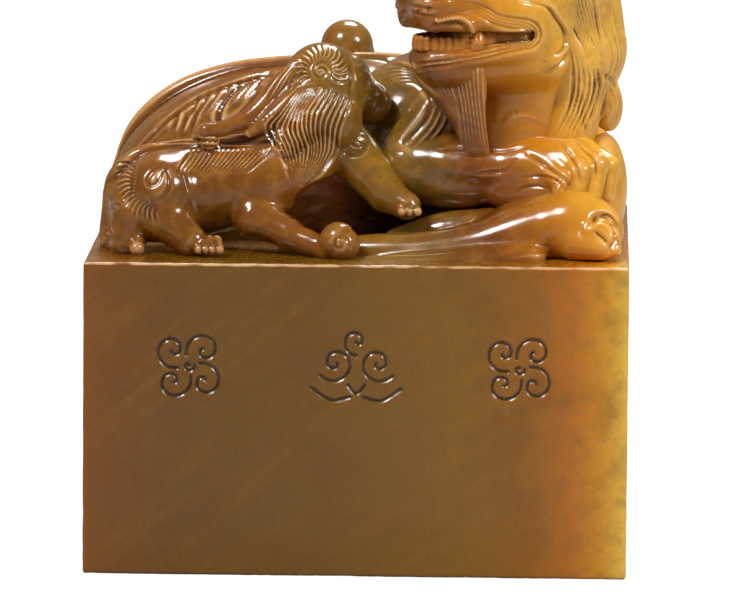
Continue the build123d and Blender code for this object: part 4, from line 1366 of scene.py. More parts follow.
@dataclass(frozen=True)
class LionessHead:
    """The lioness's head, turned back over her shoulder, with a traditional lion's face.

    Its own places are (forward, side, up) millimetres from the head's middle, where the side
    towards the front of the block is positive. Strokes seen from the front are frame pixels.
    """

    middle: PointMM = (14.3, -10.2, 22.0)
    turn: float = 210.0
    voxel: float = 0.125
    beads_px: Path = ((438, 21), (449, 18.7), (458, 17.9), (465, 20.3), (470, 24.4), (473, 31), (473.6, 36))
    gum_px: Path = ((430, 27), (444, 24), (457, 23), (464, 27), (467, 33))
    lip_inner_px: Path = (
        (463, 9.8), (476, 12), (486, 18), (492, 22.8), (505, 26.8), (515, 28.5), (526, 29), (529, 33),
        (527, 38), (520, 42.5), (508, 42.6), (489, 42.5), (470, 49),
    )
    lip_outer_px: Path = (
        (450, 0), (476, 4), (490, 9), (499, 15.5), (516, 18.5), (530, 20.5), (539, 27), (541, 38),
        (535, 46.5), (524, 49.5), (505, 53), (486, 58), (458, 63),
    )
    cheek_px: Path = ((515, -2), (541, 4), (549, 8), (556, 18), (564, 31), (565.5, 42), (562, 50), (552, 56))
    jaw_edge_px: Path = ((572, 46), (568, 54), (562, 63), (552, 70), (543, 75))
    chin_px: Path = ((413, 64), (430, 62), (448, 60), (463, 57))
    throat_px: tuple[Path, ...] = (
        ((497, 121), (513, 110), (532, 111), (549, 123)),
        ((507, 131), (520, 122), (536, 124), (548, 134)),
    )
    strand_first_px: Path = ((556, -16), (566, 8), (574, 28), (584, 48), (590, 66))
    strand_last_px: Path = ((588, -18), (594, 4), (598, 26), (602, 46), (606, 64))
    lower_strand_first_px: Path = ((570, 48), (574, 70), (574, 92), (567, 114), (556, 134))
    lower_strand_last_px: Path = ((596, 66), (601, 82), (599, 98), (592, 116), (584, 132))
    upper_lobe_px: Path = ((608, -12), (606, 4), (607, 20), (611, 34), (617, 42))
    lobe_px: Path = (
        (597, 96), (598, 82), (605, 76), (613, 81), (621, 91), (621, 105), (616, 119), (607, 129)
    )
    far_locks: tuple[Path, ...] = (
        ((-0.6, -5.4, 3.4), (-1.6, -6.2, -0.6), (-2.2, -5.9, -5.0), (-1.6, -4.6, -9.6)),
        ((-3.0, -5.2, 4.4), (-4.2, -5.6, 0.0), (-4.6, -5.4, -5.0), (-3.2, -4.2, -10.4)),
    )
    beard_left: tuple[PointMM, ...] = (
        (5.4, -14.9, 17.2), (6.4, -15.2, 15.4), (8.0, -15.2, 13.9), (9.2, -14.9, 11.8), (10.0, -14.2, 9.2),
    )
    beard_right: tuple[PointMM, ...] = (
        (10.8, -16.2, 17.2), (11.1, -16.0, 15.4), (11.1, -15.6, 13.4), (11.3, -15.0, 11.4),
        (11.7, -14.2, 9.0),
    )
    beard_px: tuple[tuple[Path, Path, int], ...] = (
        (((448, 62), (459, 100), (465, 148)), ((480, 61), (481, 100), (487, 148)), 7),
        (((412, 68), (428, 84), (447, 98)), ((443, 62), (453, 86), (460, 112)), 6),
    )
    bead_step_px: float = 1.2
    bead_half_px: float = 0.7
    cheek_ridge_px: Pixel = (4.5, 0.5)
    chin_step_px: float = 5.0
    whiskers_px: tuple[Pixel, ...] = ((419, 12), (429, 10), (404, 13), (402, 19))
    whisker_radius_px: float = 2.2
    tongue_curl_px: Pixel = (470.0, 39.0)
    tongue_radius_px: float = 5.0
    # How far forward and how far to the side the lower teeth stand, from the corner to the middle.
    tooth_row: Path = ((3.4, 4.0), (5.8, 3.5), (7.9, 2.75), (9.5, 1.7), (10.3, 0.55))
    # How far forward each bar of the gums lies, and how far it reaches to both sides.
    gums: Path = ((0.9, 4.4), (1.9, 4.3), (3.2, 3.8), (4.8, 3.3), (6.4, 2.6))
    nape_hair_first: Path = ((-17.0, 24.0), (-16.5, 18.0), (-14.5, 9.5))
    nape_hair_last: Path = ((-3.0, 25.0), (-2.0, 18.0), (-4.5, 10.0))
    back_hair_first: Path = ((-9.0, 23), (-10.0, 17), (-12.0, 10))
    back_hair_last: Path = ((-14.0, 25), (-15.0, 18), (-15.0, 10))

    def spot(self, forward: float, side: float, up: float) -> PointMM:
        """A place on the head in millimetres over the table."""
        angle = math.radians(self.turn)
        ahead, across = (math.cos(angle), math.sin(angle)), (-math.sin(angle), math.cos(angle))
        x = self.middle[0] + forward * ahead[0] + side * across[0]
        y = self.middle[1] + forward * ahead[1] + side * across[1]
        return (x, y, self.middle[2] + up)

    def limb(self, start: PointMM, end: PointMM, start_radius: float, end_radius: float) -> Limb:
        """A run between two places on the head."""
        return Limb(self.spot(*start), self.spot(*end), start_radius, end_radius)

    def lump(self, middle: PointMM, radii: PointMM, turn: float = 0.0, tilt: float = 0.0) -> Lump:
        """An egg at a place on the head."""
        return Lump(self.spot(*middle), radii, self.turn + turn, tilt)

    def rope(self, path: Path, radii: Sequence[float]) -> Rope:
        """A rope through places on the head."""
        return Rope(tuple(self.spot(*point) for point in path), radii)

    def mouth(self) -> Slot:
        """The open mouth: a wedge that narrows towards its corners."""
        angle = math.radians(self.turn)
        side = (-math.sin(angle), math.cos(angle), 0.0)
        return Slot(self.limb((1.9, 0, -1.6), (12.5, 0, -2.2), 0.3, 0.85), side, 8.0)

    def build(self, flesh: Material, mouth: Material) -> None:
        """Sculpts the face, the teeth, the mane and the beard."""
        self.face(flesh)
        self.teeth(mouth)
        self.mane(flesh)
        self.beard(flesh)

    def face(self, material: Material) -> bpy.types.Object:
        """Skull, cheeks, muzzle, jaw, nose, eyes, brows, ears and crown."""
        clay = Clay((1.0, -22.5, 5.0), (25.0, -1.0, 31.1), self.voxel)
        clay.add(self.limb((-1.7, 0, 1.0), (1.4, 0, 0.6), 6.2, 5.9), 1.0)
        clay.add(self.limb((5.4, 0, 2.8), (8.8, 0, 3.0), 2.7, 2.2), 1.2)
        clay.add(self.limb((0.4, 0, -4.4), (8.4, 0, -4.6), 3.4, 2.3), 1.4)
        clay.add(Limb((15.2, -8.7, 15.6), (13.4, -8.4, 9.0), 5.2, 5.7), 1.4)
        clay.add(self.lump((10.1, 0, -0.2), (1.2, 2.2, 1.0)), 0.5)
        for side in (1, -1):
            self.half_face(clay, side)
        for forward, across, up in self.curls():
            clay.add(self.lump((forward, across, up - 0.45), (1.3, 1.3, 1.3)), 0.25)
        clay.add(self.lump((9.9, 0, 3.5), (1.2, 2.3, 1.1), 0, 10), 0.4)
        clay.cut(self.mouth(), 0.35)
        clay.cut(self.limb((11.2, 0, 0.4), (10.2, 0, 2.0), 0.2, 0.2), 0.3)
        clay.keep_inside()
        skin = clay.skin()
        # Painted shade on the walls of the open mouth.
        skin.shade_and_ink(self.mouth(), 0.3, 1.0)
        self.cut_front(skin)
        self.cut_face(skin)
        nodes = [
            "mother_head", "mother_muzzle", "mother_lower_jaw", "mother_nose", "mother_eyes",
            "mother_brows", "mother_ears", "mother_crown",
        ]
        return skin.piece("lioness_face", material, nodes)

    def half_face(self, clay: Clay, side: int) -> None:
        """Adds one side's cheek, lips, eye, brow and ear."""
        clay.add(self.lump((1.3, 3.6 * side, -0.2), (4.3, 2.7, 4.2), 12 * side), 1.2)
        clay.add(self.limb((6.2, 1.7 * side, 1.5), (9.4, 1.4 * side, 1.2), 2.7, 2.4), 0.8)
        clay.add(self.limb((-0.8, 3.4 * side, -4.0), (7.4, 1.5 * side, -4.7), 2.8, 2.0), 1.2)
        upper_lip = (
            (2.0, 5.3 * side, 0.1), (4.4, 4.5 * side, -0.1), (7.2, 3.7 * side, -0.4),
            (10.2, 2.3 * side, -0.5),
        )
        clay.add(self.rope(upper_lip, (0.8, 1.0, 0.9, 0.8)), 0.7)
        lower_lip = (
            (1.4, 5.2 * side, -2.9), (4.2, 4.2 * side, -3.3), (7.4, 3.1 * side, -3.7),
            (9.6, 1.6 * side, -3.9),
        )
        clay.add(self.rope(lower_lip, (0.9, 1.0, 0.9, 0.8)), 0.7)
        corner = (
            (2.6, 5.3 * side, 0.3), (1.2, 5.8 * side, -0.3), (0.6, 5.9 * side, -1.5), (1.4, 5.6 * side, -2.7)
        )
        clay.add(self.rope(corner, (0.5, 0.6, 0.6, 0.5)), 0.5)
        clay.add(self.lump((10.1, 1.6 * side, 3.0), (1.0, 0.9, 0.8)), 0.35)
        clay.cut(self.limb((11.0, 0.9 * side, 2.8), (9.8, 1.0 * side, 3.1), 0.42, 0.3), 0.2)
        clay.add(self.lump((5.2, 2.9 * side, 4.5), (1.6, 1.7, 1.5)), 0.3)
        brow = (
            (6.3, 1.2 * side, 5.5), (5.6, 2.8 * side, 6.5), (4.2, 4.4 * side, 6.8), (2.8, 5.6 * side, 6.2)
        )
        clay.add(self.rope(brow, (0.7, 0.95, 0.9, 0.5)), 0.3)
        lid = ((6.6, 1.5 * side, 3.5), (5.9, 3.0 * side, 2.9), (4.4, 4.4 * side, 3.3))
        clay.add(self.rope(lid, (0.35, 0.4, 0.3)), 0.25)
        ear = ((0.2, 5.4 * side, 4.2), (-1.0, 6.6 * side, 5.6), (-1.8, 7.0 * side, 7.2))
        clay.add(self.rope(ear, (1.7, 1.5, 0.8)), 0.4)
        ear_hollow = ((0.9, 6.7 * side, 4.6), (0.0, 7.6 * side, 5.8), (-1.0, 7.8 * side, 7.0))
        clay.cut(self.rope(ear_hollow, (0.7, 0.8, 0.4)), 0.25)

    def curls(self) -> list[PointMM]:
        """Places of the curls on the crown."""
        places = [(4.6, 0.0, 7.1), (0.6, 0.0, 8.0), (-3.6, 0.0, 7.0)]
        for side in (1, -1):
            places += [
                (2.8, 1.7 * side, 7.7),
                (0.9, 3.2 * side, 7.2),
                (-1.6, 1.6 * side, 7.7),
                (-1.6, 4.3 * side, 6.4),
            ]
        return places

    def cut_front(self, skin: Skin) -> None:
        """Cuts the lines that frame the mouth, the cheek and the chin."""
        spots, half = smooth_path(self.beads_px, self.bead_step_px)[::3], self.bead_half_px
        beads = [[(x - half, y - half), (x + half, y + half)] for x, y in spots]
        Graver(FRONT, 0.24, -0.32, False).cut(skin, beads)
        Graver(FRONT, 0.16, 0.18).cut(skin, [self.gum_px])
        Graver(FRONT, 0.16, 0.22).cut(skin, comb(self.lip_inner_px, self.lip_outer_px, 4))
        Graver(FRONT, 0.2, 0.26).cut(skin, [self.cheek_px, self.jaw_edge_px])
        outer_cheek = [(x + self.cheek_ridge_px[0], y + self.cheek_ridge_px[1]) for x, y in self.cheek_px]
        Graver(FRONT, 0.18, -0.16).cut(skin, [outer_cheek])
        lower = [(x, y + self.chin_step_px) for x, y in self.chin_px]
        Graver(FRONT, 0.15, 0.17).cut(skin, [self.chin_px, lower])
        Graver(FRONT, 0.5, 0.17).cut(skin, self.throat_px)
        whiskers = [spiral(spot, self.whisker_radius_px, 1.0, 0) for spot in self.whiskers_px]
        Graver(FRONT, 0.14, 0.16).cut(skin, whiskers)

    def cut_face(self, skin: Skin) -> None:
        """Cuts pupils, brow hair and crown curls, square to the face and from above."""
        angle = math.radians(self.turn)
        ahead = (math.cos(angle), math.sin(angle), 0.0)
        across = (-math.sin(angle), math.cos(angle), 0.0)
        facing = Sight(right=across, up=(0, 0, 1), toward=ahead)
        origin = facing.flat((np.array(self.middle) + (0, 0, TABLE))[None, :])[0]
        pupils, hairs = [], []
        for side in (1, -1):
            pupils.append(spiral(origin + (3.0 * side, 4.6), 0.55, 1.0, 0))
            for k in range(6):
                root = origin + (side * (1.3 + 0.75 * k), 5.6 + 0.12 * k)
                hairs.append([root, root + (side * 0.5, 0.8), root + (side * 1.2, 1.4)])
            for k in range(3):
                hairs.append([origin + (side * 1.2, 0.6 + 0.7 * k), origin + (side * 3.6, 0.2 + 0.8 * k)])
        Graver(facing, 0.16, 0.2).cut(skin, pupils)
        Graver(facing, 0.13, 0.14).cut(skin, hairs)
        spirals = []
        for forward, side, _ in self.curls():
            spirals.append(spiral(self.spot(forward, side, 0)[:2], 1.15, 1.7, 40 * forward))
        Graver(TOP, 0.13, 0.16).cut(skin, spirals)

    def teeth(self, material: Material) -> bpy.types.Object:
        """The lower row of teeth with its fangs, and the tongue that fills the mouth."""
        row = Clay((1.0, -22.0, 16.0), (20.0, -5.0, 24.0), 0.1)
        other_half = tuple((forward, -side) for forward, side in self.tooth_row[::-1])
        arc = smooth_path(self.tooth_row + other_half, 0.72)
        for forward, side in arc:
            row.add(self.limb((forward, side, -2.85), (forward, side, -2.1), 0.42, 0.34), 0.06)
        for side in (1, -1):
            fang = ((6.4, 3.8 * side, -2.9), (6.3, 4.0 * side, -2.2), (6.2, 3.9 * side, -1.5))
            row.add(self.rope(fang, (0.5, 0.68, 0.45)), 0.1)
        tongue = self.rope(((1.6, 0, -2.4), (5.0, 0, -2.2), (8.6, 0, -2.7)), (1.5, 1.4, 0.9))
        row.add(tongue, 0.3)
        for forward, reach in self.gums:
            row.add(self.limb((forward, reach, -2.0), (forward, -reach, -2.0), 1.15, 1.15), 0.3)
        skin = row.skin()
        # Painted shade deep in the mouth round the tongue, over the gums and the teeth's roots, partly the
        # mouth's own darker red.
        skin.shade_and_ink(tongue, 2.4, 0.6)
        Graver(FRONT, 0.13, 0.14).cut(skin, [spiral(self.tongue_curl_px, self.tongue_radius_px, 1.4, 200)])
        return skin.piece("lioness_teeth", material, ["mother_teeth"], StonePart.MOUTH)

    def mane(self, material: Material) -> bpy.types.Object:
        """Hair swept back from the cheeks, with smooth lobes at the nape and curls behind."""
        clay = Clay((8.0, -20.0, 5.0), (25.1, 4.0, 30.8), 0.14)
        clay.add(self.limb((-5.1, 0, -3.6), (-3.9, 0, 1.6), 5.9, 6.2), 1.0)
        clay.add(Limb((20.2, -11.2, 25.4), (21.4, -10.0, 18.6), 2.8, 2.6), 1.6)
        clay.add(Limb((21.0, -10.8, 18.4), (18.8, -10.9, 9.8), 2.7, 2.8), 1.6)
        clay.add(Lump((22.8, -9.4, 13.5), (1.5, 2.2, 2.7), 0.0, 6.0), 0.35)
        clay.add(Lump((22.4, -9.0, 20.9), (1.5, 2.2, 2.7), 0.0, -6.0), 0.35)
        for path in self.far_locks:
            clay.add(self.rope(path, (1.5, 1.6, 1.6, 1.0)), 1.0)
        for forward, side, up, size in self.nape():
            clay.add(self.lump((forward, side, up), (size, size * 0.9, size)), 0.3)
        clay.keep_inside()
        skin = clay.skin()
        fine = Graver(FRONT, 0.15, 0.26)
        fine.cut(skin, comb(self.strand_first_px, self.strand_last_px, 9))
        fine.cut(skin, comb(self.lower_strand_first_px, self.lower_strand_last_px, 6))
        Graver(FRONT, 0.26, 0.2).cut(skin, [self.lobe_px])
        Graver(FRONT, 0.3, 0.09).cut(skin, [self.upper_lobe_px])
        self.cut_nape(skin)
        return skin.piece("lioness_mane", material, ["mother_mane", "mother_mane_curls"])

    def nape(self) -> list[tuple[float, float, float, float]]:
        """Places and sizes of the curls behind the mane."""
        places = [(-8.3, 0.0, 0.6, 2.3), (-4.6, 0.0, 6.8, 1.9), (-8.0, 0.0, -6.4, 2.2)]
        for side in (1, -1):
            places += [(-8.2, 1.9 * side, 4.0, 1.9), (-8.1, 2.2 * side, -2.9, 2.1)]
        places += [(-5.2, -6.0, 3.0, 2.2), (-5.0, -6.5, -2.0, 2.2), (-5.2, -5.4, -7.0, 2.2)]
        return places

    def cut_nape(self, skin: Skin) -> None:
        """Cuts the curls' spirals and the hair between them, from the right and from behind."""
        Graver(RIGHT, 0.15, 0.15).cut(skin, comb(self.nape_hair_first, self.nape_hair_last, 24))
        behind = [self.spot(*place[:3]) for place in self.nape()]
        Graver(RIGHT, 0.17, 0.22).cut(skin, [spiral((s[1], s[2]), 1.7, 1.8, 90) for s in behind[:7]])
        Graver(BACK, 0.17, 0.22).cut(skin, [spiral((-s[0], s[2]), 1.8, 1.8, 90) for s in behind[7:]])
        Graver(BACK, 0.15, 0.15).cut(skin, comb(self.back_hair_first, self.back_hair_last, 9))

    def beard(self, material: Material) -> bpy.types.Object:
        """The beard that falls from the chin onto the throat, in fine parallel locks."""
        clay = Clay((1.0, -20.5, 5.0), (17.0, -5.0, 19.5), 0.115)
        clay.add(Rope(((8.2, -13.6, 16.2), (9.5, -13.6, 13.2), (10.7, -12.9, 9.6)), (2.6, 1.7, 1.1)), 0.6)
        for share in np.linspace(0, 1, 9):
            lock = [self.between(a, b, share) for a, b in zip(self.beard_left, self.beard_right)]
            clay.add(Rope(tuple(lock), (0.8, 0.62, 0.5, 0.42, 0.34)), 0.3)
        skin = clay.skin()
        for first, last, count in self.beard_px:
            Graver(FRONT, 0.13, 0.17).cut(skin, comb(first, last, count))
        return skin.piece("lioness_beard", material, ["mother_beard"])

    @staticmethod
    def between(first: PointMM, last: PointMM, share: float) -> PointMM:
        """A place on the way from one place to another."""
        return tuple(a + (b - a) * share for a, b in zip(first, last))


@dataclass(frozen=True)
class NearCub:
    """The cub that climbs up to the lioness's chin, in front."""

    voxel: float = 0.13
    lock_px: Path = ((292, 62), (276, 78), (262, 96), (246, 111), (224, 122))
    mane_left_px: Path = (
        (299, 89), (290, 99), (277, 115), (268.5, 126), (270, 135), (277, 146), (285.5, 161), (290, 175),
        (294, 183),
    )
    mane_middle_px: Path = (
        (319, 87), (313, 98), (305, 111), (305, 129), (310.5, 146), (309, 161), (303.5, 175), (299, 184)
    )
    mane_right_px: Path = (
        (350, 102), (344.5, 114), (338.6, 129), (337, 140), (336, 152), (328, 165), (317, 176), (305, 185)
    )
    forelock_first_px: Path = ((296, 62), (284, 74), (272, 92), (264, 108))
    forelock_last_px: Path = ((306, 62), (300, 72), (294, 86), (282, 96))
    ruff_centre_px: Pixel = (321.0, 71.0)
    scroll_centre_px: Pixel = (358.0, 141.0)
    thigh_px: Path = ((156, 151), (144, 156), (134, 164), (130, 186), (128.5, 200))
    haunch_curl_px: Path = (
        (164, 168), (157, 169), (150, 175), (147.6, 181.6), (151.6, 185.6), (158, 181.6), (161, 174),
        (165, 169), (169, 176), (169, 187), (163.7, 195), (153, 201),
    )
    haunch_fold_px: Path = ((177, 169), (183.7, 175), (186.5, 184), (188, 193))
    back_line_px: Path = ((134, 162), (147, 152), (172, 146), (210, 147), (242, 147), (270, 143))
    rump_forms: Shapes = (
        (Limb((-17.6, -13.6, 5.0), (-8.6, -13.6, 6.4), 4.4, 4.0), 1.0),
        (Limb((-19.6, -15.6, 4.4), (-18.4, -16.2, 5.6), 3.6, 3.5), 1.2),
        (Limb((-5.6, -13.6, 8.2), (-4.0, -12.8, 11.4), 3.4, 3.1), 1.6),
        (Limb((-20.8, -17.2, 3.4), (-21.4, -17.4, 1.0), 2.0, 1.7), 0.6),
        (Limb((-22.0, -13.6, 4.6), (-22.8, -13.8, 0.8), 1.9, 1.5), 0.6),
        (Limb((-17.6, -17.8, 3.0), (-15.4, -19.0, 1.3), 2.1, 1.5), 0.8),
    )
    foreleg_forms: Shapes = (
        (Limb((-9.6, -16.6, 3.2), (-6.6, -18.0, 2.1), 2.0, 1.4), 0.9),
        (Limb((-6.6, -18.0, 1.9), (-3.0, -19.6, 0.8), 1.3, 1.05), 0.5),
        (Limb((-1.8, -20.0, 1.6), (-1.4, -20.2, 1.3), 1.75, 1.6), 0.4),
        (Limb((-1.6, -11.2, 9.6), (2.4, -13.8, 5.4), 2.7, 1.8), 0.9),
        (Limb((2.4, -13.8, 5.2), (4.4, -15.0, 4.3), 1.6, 1.3), 0.5),
    )
    back_forms: Shapes = (
        (
            Rope(
                (
                    (-23.2, -13.6, 3.6), (-22.9, -13.8, 6.4), (-20.8, -13.8, 8.6), (-17.5, -13.6, 9.4),
                    (-12.0, -13.6, 10.0), (-6.5, -13.4, 10.9),
                ),
                (0.55, 0.7, 0.7, 0.6, 0.6, 0.5),
            ),
            0.35,
        ),
        (Rope(((-13.9, -15.6, 10.2), (-14.4, -15.2, 10.9), (-15.0, -15.0, 10.6)), (0.9, 0.9, 0.6)), 0.3),
    )
    gaps: Shapes = (
        (Lump((-10.0, -18.6, 0.4), (2.4, 1.8, 1.4), -10.0), 0.5),
        (Lump((-5.4, -13.8, 1.2), (2.8, 4.2, 3.0), -20.0), 0.6),
    )
    head_forms: Shapes = (
        (Limb((-3.6, -11.8, 15.4), (-2.4, -11.4, 15.0), 3.7, 3.5), 0.8),
        (Limb((-1.8, -10.2, 14.6), (0.6, -9.0, 13.2), 2.6, 2.1), 0.9),
        (Lump((-0.7, -11.6, 15.4), (1.1, 2.0, 2.5), 20.0, 0.0), 0.35),
        (Lump((-4.4, -7.9, 16.4), (1.2, 1.6, 1.4), 0.0), 0.35),
        (
            Rope(
                (
                    (-5.8, -13.4, 16.9), (-7.4, -13.9, 15.4), (-8.8, -14.4, 13.7), (-10.4, -15.0, 12.3),
                    (-12.6, -15.6, 11.4), (-14.2, -15.8, 11.2),
                ),
                (0.9, 1.0, 0.95, 0.85, 0.75, 0.75),
            ),
            0.3,
        ),
        (
            Rope(
                ((-5.2, -14.2, 15.0), (-6.6, -15.0, 13.6), (-8.4, -15.6, 12.2), (-10.2, -15.9, 11.0)),
                (1.3, 1.2, 0.9, 0.4),
            ),
            0.4,
        ),
        (Rope(((-4.0, -14.6, 13.6), (-5.6, -15.6, 11.6), (-6.6, -16.2, 9.6)), (1.9, 2.0, 1.2)), 0.8),
        (Lump((-3.0, -13.6, 12.0), (3.2, 2.4, 3.0)), 1.0),
    )
    side_hair_first_px: Path = ((190, 151), (178, 172))
    side_hair_last_px: Path = ((270, 149), (246, 172))
    haunch_centre_px: Pixel = (160.0, 178.0)
    haunch_reach_px: Pixel = (26.0, 44.0)
    spine_px: Path = ((156, 142), (200, 141), (240, 142), (273, 142))
    scroll_radius_px: float = 10.0
    scroll_rings_px: tuple[float, ...] = (14.0, 18.0, 22.0)
    # Each curl's centre and radius in pixels, its turns and its last angle.
    paw_curls_px: tuple[tuple[Pixel, float, float, float], ...] = (
        ((115, 207), 6, 1.3, 90),
        ((107, 234), 6, 1.3, 90),
        ((340, 244), 9, 1.2, 0),
    )
    ruff_reach_px: Pixel = (12.0, 26.0)
    cheek_px: Path = ((348, 58), (352, 74), (350, 92), (354, 104))
    far_hair_first: Path = ((6.0, 9.6), (8.0, 6.1))
    far_hair_last: Path = ((18.0, 8.1), (20.0, 4.1))
    far_mane_first: Path = ((5.5, 17.6), (6.5, 14.1), (6.0, 10.1))
    far_mane_last: Path = ((1.5, 17.6), (1.0, 14.1), (2.0, 10.1))

    def build(self, material: Material) -> None:
        """Sculpts the cub as a body and a head."""
        self.body(material)
        self.head(material)

    def mane(self) -> list[np.ndarray]:
        """The waved strokes that hang from the head over the chest, cut into both pieces alike."""
        right_half = comb(self.mane_middle_px, self.mane_right_px, 8)
        return comb(self.mane_left_px, self.mane_middle_px, 8) + right_half[1:]

    def body(self, material: Material) -> bpy.types.Object:
        """Trunk, legs and tail."""
        clay = Clay((-25.0, -23.5, -SINK - 0.4), (8.0, -4.0, 15.0), self.voxel)
        clay.add_all(self.rump_forms)
        for k in range(4):
            clay.add(Limb((-14.9 + 0.62 * k, -19.4, 1.4), (-14.6 + 0.62 * k, -20.4, 0.7), 0.52, 0.45), 0.12)
        clay.add(Limb((-20.6, -18.2, 1.0), (-20.4, -19.4, 0.6), 0.9, 0.7), 0.3)
        clay.cut(Lump((-2.4, -14.0, 4.5), (3.8, 6.0, 2.3)), 0.6)
        clay.add_all(self.foreleg_forms)
        for k in range(3):
            clay.add(
                Limb((3.7 + 0.6 * k, -15.2, 4.6 - 0.1 * k), (4.0 + 0.7 * k, -16.2, 3.9), 0.5, 0.42), 0.12
            )
        clay.add_all(self.back_forms)
        clay.cut_all(self.gaps)
        clay.keep_above(-SINK).keep_inside()
        skin = clay.skin()
        Graver(FRONT, 0.2, 0.2).cut(
            skin, [self.thigh_px, self.haunch_curl_px, self.haunch_fold_px, self.back_line_px]
        )
        Graver(FRONT, 0.15, 0.28).cut(skin, comb(self.side_hair_first_px, self.side_hair_last_px, 17))
        Graver(FRONT, 0.14, 0.2).cut(skin, fan(self.haunch_centre_px, *self.haunch_reach_px, 95, 200, 15))
        Graver(FRONT, 0.2, 0.26).cut(skin, [self.spine_px])
        Graver(FRONT, 0.14, 0.34).cut(skin, self.mane())
        rings = [spiral(self.scroll_centre_px, radius, 0.8, 200) for radius in self.scroll_rings_px]
        Graver(FRONT, 0.16, 0.18).cut(
            skin, [spiral(self.scroll_centre_px, self.scroll_radius_px, 1.7, 60), *rings]
        )
        Graver(FRONT, 0.14, 0.14).cut(skin, [spiral(*curl) for curl in self.paw_curls_px])
        Graver(BACK, 0.16, 0.16).cut(skin, comb(self.far_hair_first, self.far_hair_last, 14))
        nodes = [
            "cub_body", "cub_haunch", "cub_far_hind_leg", "cub_near_hind_paw", "cub_spine", "cub_tail",
            "cub_chest", "cub_tuft", "cub_near_foreleg", "cub_near_forepaw", "cub_far_foreleg",
            "cub_far_forepaw",
        ]
        return skin.piece("near_cub_body", material, nodes)

    def head(self, material: Material) -> bpy.types.Object:
        """Head, ears and the long locks that are swept back."""
        clay = Clay((-18.0, -19.0, 7.0), (4.0, -4.0, 20.5), 0.1)
        clay.add_all(self.head_forms)
        skin = clay.skin()
        Graver(FRONT, 0.16, 0.2).cut(skin, comb(self.forelock_first_px, self.forelock_last_px, 5))
        Graver(FRONT, 0.14, 0.17).cut(skin, fan(self.ruff_centre_px, *self.ruff_reach_px, 150, 385, 17))
        Graver(FRONT, 0.14, 0.16).cut(skin, [spiral(self.ruff_centre_px, self.scroll_radius_px, 2.1, 30)])
        Graver(FRONT, 0.14, 0.34).cut(skin, self.mane())
        Graver(FRONT, 0.16, 0.2).cut(skin, [self.cheek_px])
        Graver(BACK, 0.15, 0.16).cut(skin, comb(self.far_mane_first, self.far_mane_last, 9))
        return skin.piece("near_cub_head", material, ["cub_head", "cub_ears", "cub_swept_lock"])


@dataclass(frozen=True)
class FarCub:
    """The second cub, which climbs down the lioness's other side, rump up."""

    voxel: float = 0.15
    trunk: Shapes = (
        (Limb((-2.1, 13.2, 16.3), (-2.1, 14.4, 14.2), 2.5, 2.9), 0.6),
        (Limb((-2.2, 14.6, 12.6), (-0.8, 18.6, 7.6), 3.0, 3.1), 1.2),
        (Limb((-0.6, 19.6, 5.4), (-0.4, 20.8, 4.2), 3.1, 2.9), 0.8),
        (Limb((-0.4, 21.6, 3.4), (0.0, 22.4, 2.6), 2.1, 1.6), 0.7),
    )
    tail: Rope = Rope(
        ((-2.2, 16.6, 15.0), (-2.0, 17.6, 13.4), (-2.6, 18.3, 11.8), (-3.2, 18.4, 10.6)),
        (0.8, 0.8, 0.8, 0.5),
    )
    hair_first: Path = ((4.0, 5.6), (3.6, 9.1), (3.2, 12.1))
    hair_last: Path = ((-2.6, 5.6), (-1.4, 9.1), (0.6, 12.1))

    def build(self, material: Material) -> bpy.types.Object:
        """Sculpts and cuts the cub."""
        clay = Clay((-10.0, 8.0, -SINK), (8.0, 25.0, 19.5), self.voxel)
        clay.add_all(self.trunk)
        for side in (1, -1):
            clay.add(Limb((-0.5 + 2.5 * side, 19.8, 6.2), (-0.4 + 3.1 * side, 20.0, 6.6), 0.95, 0.75), 0.3)
            clay.add(Limb((-1.2 + 2.6 * side, 17.2, 6.0), (-0.4 + 3.8 * side, 19.6, 1.2), 1.7, 1.2), 0.6)
            clay.add(Limb((-0.4 + 3.8 * side, 19.8, 0.9), (-0.3 + 3.9 * side, 21.0, 0.7), 1.25, 1.0), 0.4)
            clay.add(Limb((-2.0 + 2.4 * side, 14.0, 13.4), (-1.9 + 4.2 * side, 16.4, 10.4), 1.8, 1.2), 0.6)
        clay.add(self.tail, 0.3)
        clay.keep_above(-SINK + 0.2)
        skin = clay.skin()
        Graver(BACK, 0.15, 0.16).cut(skin, comb(self.hair_first, self.hair_last, 12))
        Graver(BACK, 0.15, 0.16).cut(
            skin, [spiral((4.4, 13.1), 1.4, 1.5, 0), spiral((-0.4, 13.1), 1.4, 1.5, 180, -1)]
        )
        Graver(TOP, 0.14, 0.14).cut(
            skin, [spiral((-1.7, 19.6), 0.9, 1.4, 0), spiral((0.7, 19.6), 0.9, 1.4, 180, -1)]
        )
        nodes = [
            "far_cub_body", "far_cub_rump", "far_cub_head", "far_cub_ears", "far_cub_forelegs",
            "far_cub_hind_legs", "far_cub_tail",
        ]
        return skin.piece("far_cub", material, nodes)


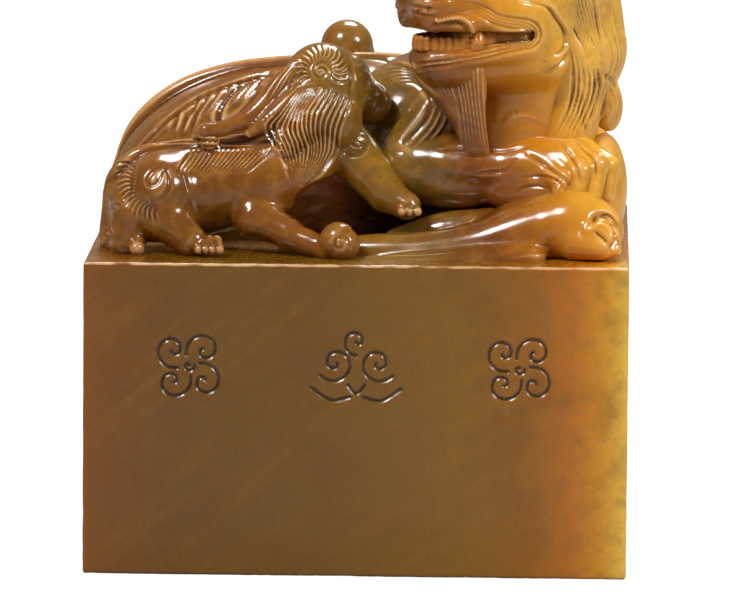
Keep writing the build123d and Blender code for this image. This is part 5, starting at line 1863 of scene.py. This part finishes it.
@dataclass(frozen=True)
class Studio:
    """A pale table, a white backdrop for the camera, and soft lamps. Sizes are metres."""

    table_size: float = 3.0
    aim_height: float = 0.035
    world_code: str = "#fff4e0"
    world_strength: float = 0.24
    paper_code: str = "#9c9c9a"
    paper_white: float = 0.78
    # Each lamp's place, size and power.
    lamps: tuple[tuple[str, tuple[float, float, float], float, float], ...] = (
        ("key", (-0.30, -0.32, 0.52), 0.15, 3.0),
        ("fill", (0.42, -0.28, 0.34), 0.12, 1.7),
        ("back", (0.06, 0.30, 0.46), 0.2, 2.6),
    )

    def build(self) -> None:
        """Makes the table, the lamps and the world."""
        half = self.table_size / 2
        corners = [(-half, -half, 0), (half, -half, 0), (half, half, 0), (-half, half, 0)]
        mesh = bpy.data.meshes.new("table")
        mesh.from_pydata(corners, [], [(0, 1, 2, 3)])
        mesh.materials.append(self.paper())
        table = bpy.data.objects.new("table", mesh)
        bpy.context.scene.collection.objects.link(table)
        for name, place, size, power in self.lamps:
            self.lamp(name, place, size, power)
        self.world()

    def world(self) -> None:
        """A dim, warm room for the light, which the camera sees as white."""
        world = bpy.data.worlds.new("studio")
        bpy.context.scene.world = world
        tree = Tree(world)
        dim = {"Color": srgb(self.world_code), "Strength": self.world_strength}
        room = tree.node("ShaderNodeBackground", dim)
        white = tree.node("ShaderNodeBackground", {"Color": (1, 1, 1, 1), "Strength": 1.0})
        seen = tree.node("ShaderNodeLightPath").outputs["Is Camera Ray"]
        tree.end(tree.node("ShaderNodeMixShader", links={0: seen, 1: room.outputs[0], 2: white.outputs[0]}))

    def paper(self) -> Material:
        """Studio paper: matt and white to the camera, with the stone's soft shadow on it."""
        material = bpy.data.materials.new("studio_paper")
        tree = Tree(material)
        matt = tree.node("ShaderNodeBsdfPrincipled", {"Base Color": srgb(self.paper_code), "Roughness": 0.9})
        white = tree.times(tree.node("ShaderNodeLightPath").outputs["Is Camera Ray"], self.paper_white)
        glow = tree.node("ShaderNodeEmission", {"Color": (1, 1, 1, 1)}, {"Strength": white})
        tree.end(tree.node("ShaderNodeAddShader", links={0: matt.outputs[0], 1: glow.outputs[0]}))
        return material

    def lamp(self, name: str, place: Sequence[float], size: float, power: float) -> None:
        """A square soft lamp that looks at the stone."""
        data = bpy.data.lights.new(name, "AREA")
        data.size, data.energy = size, power
        lamp = bpy.data.objects.new(name, data)
        lamp.location = place
        sight = Vector((0, 0, self.aim_height)) - Vector(place)
        lamp.rotation_euler = sight.to_track_quat("-Z", "Y").to_euler()
        bpy.context.scene.collection.objects.link(lamp)


def main() -> None:
    """Builds the camera, the stone and the studio."""
    logging.basicConfig(level=logging.INFO)
    bpy.context.scene.view_settings.view_transform = "Standard"
    PhotoCamera().build()
    block = BLOCK_FINISH.build()
    figures = FIGURE_FINISH.build()
    mouth = MOUTH_FINISH.build()
    SealBlock().build(block)
    LionessBody().build(figures)
    LionessLegs().build(figures)
    LionessTail().build(figures)
    LionessHead().build(figures, mouth)
    NearCub().build(figures)
    FarCub().build(figures)
    Studio().build()


if __name__ == "__main__":
    main()
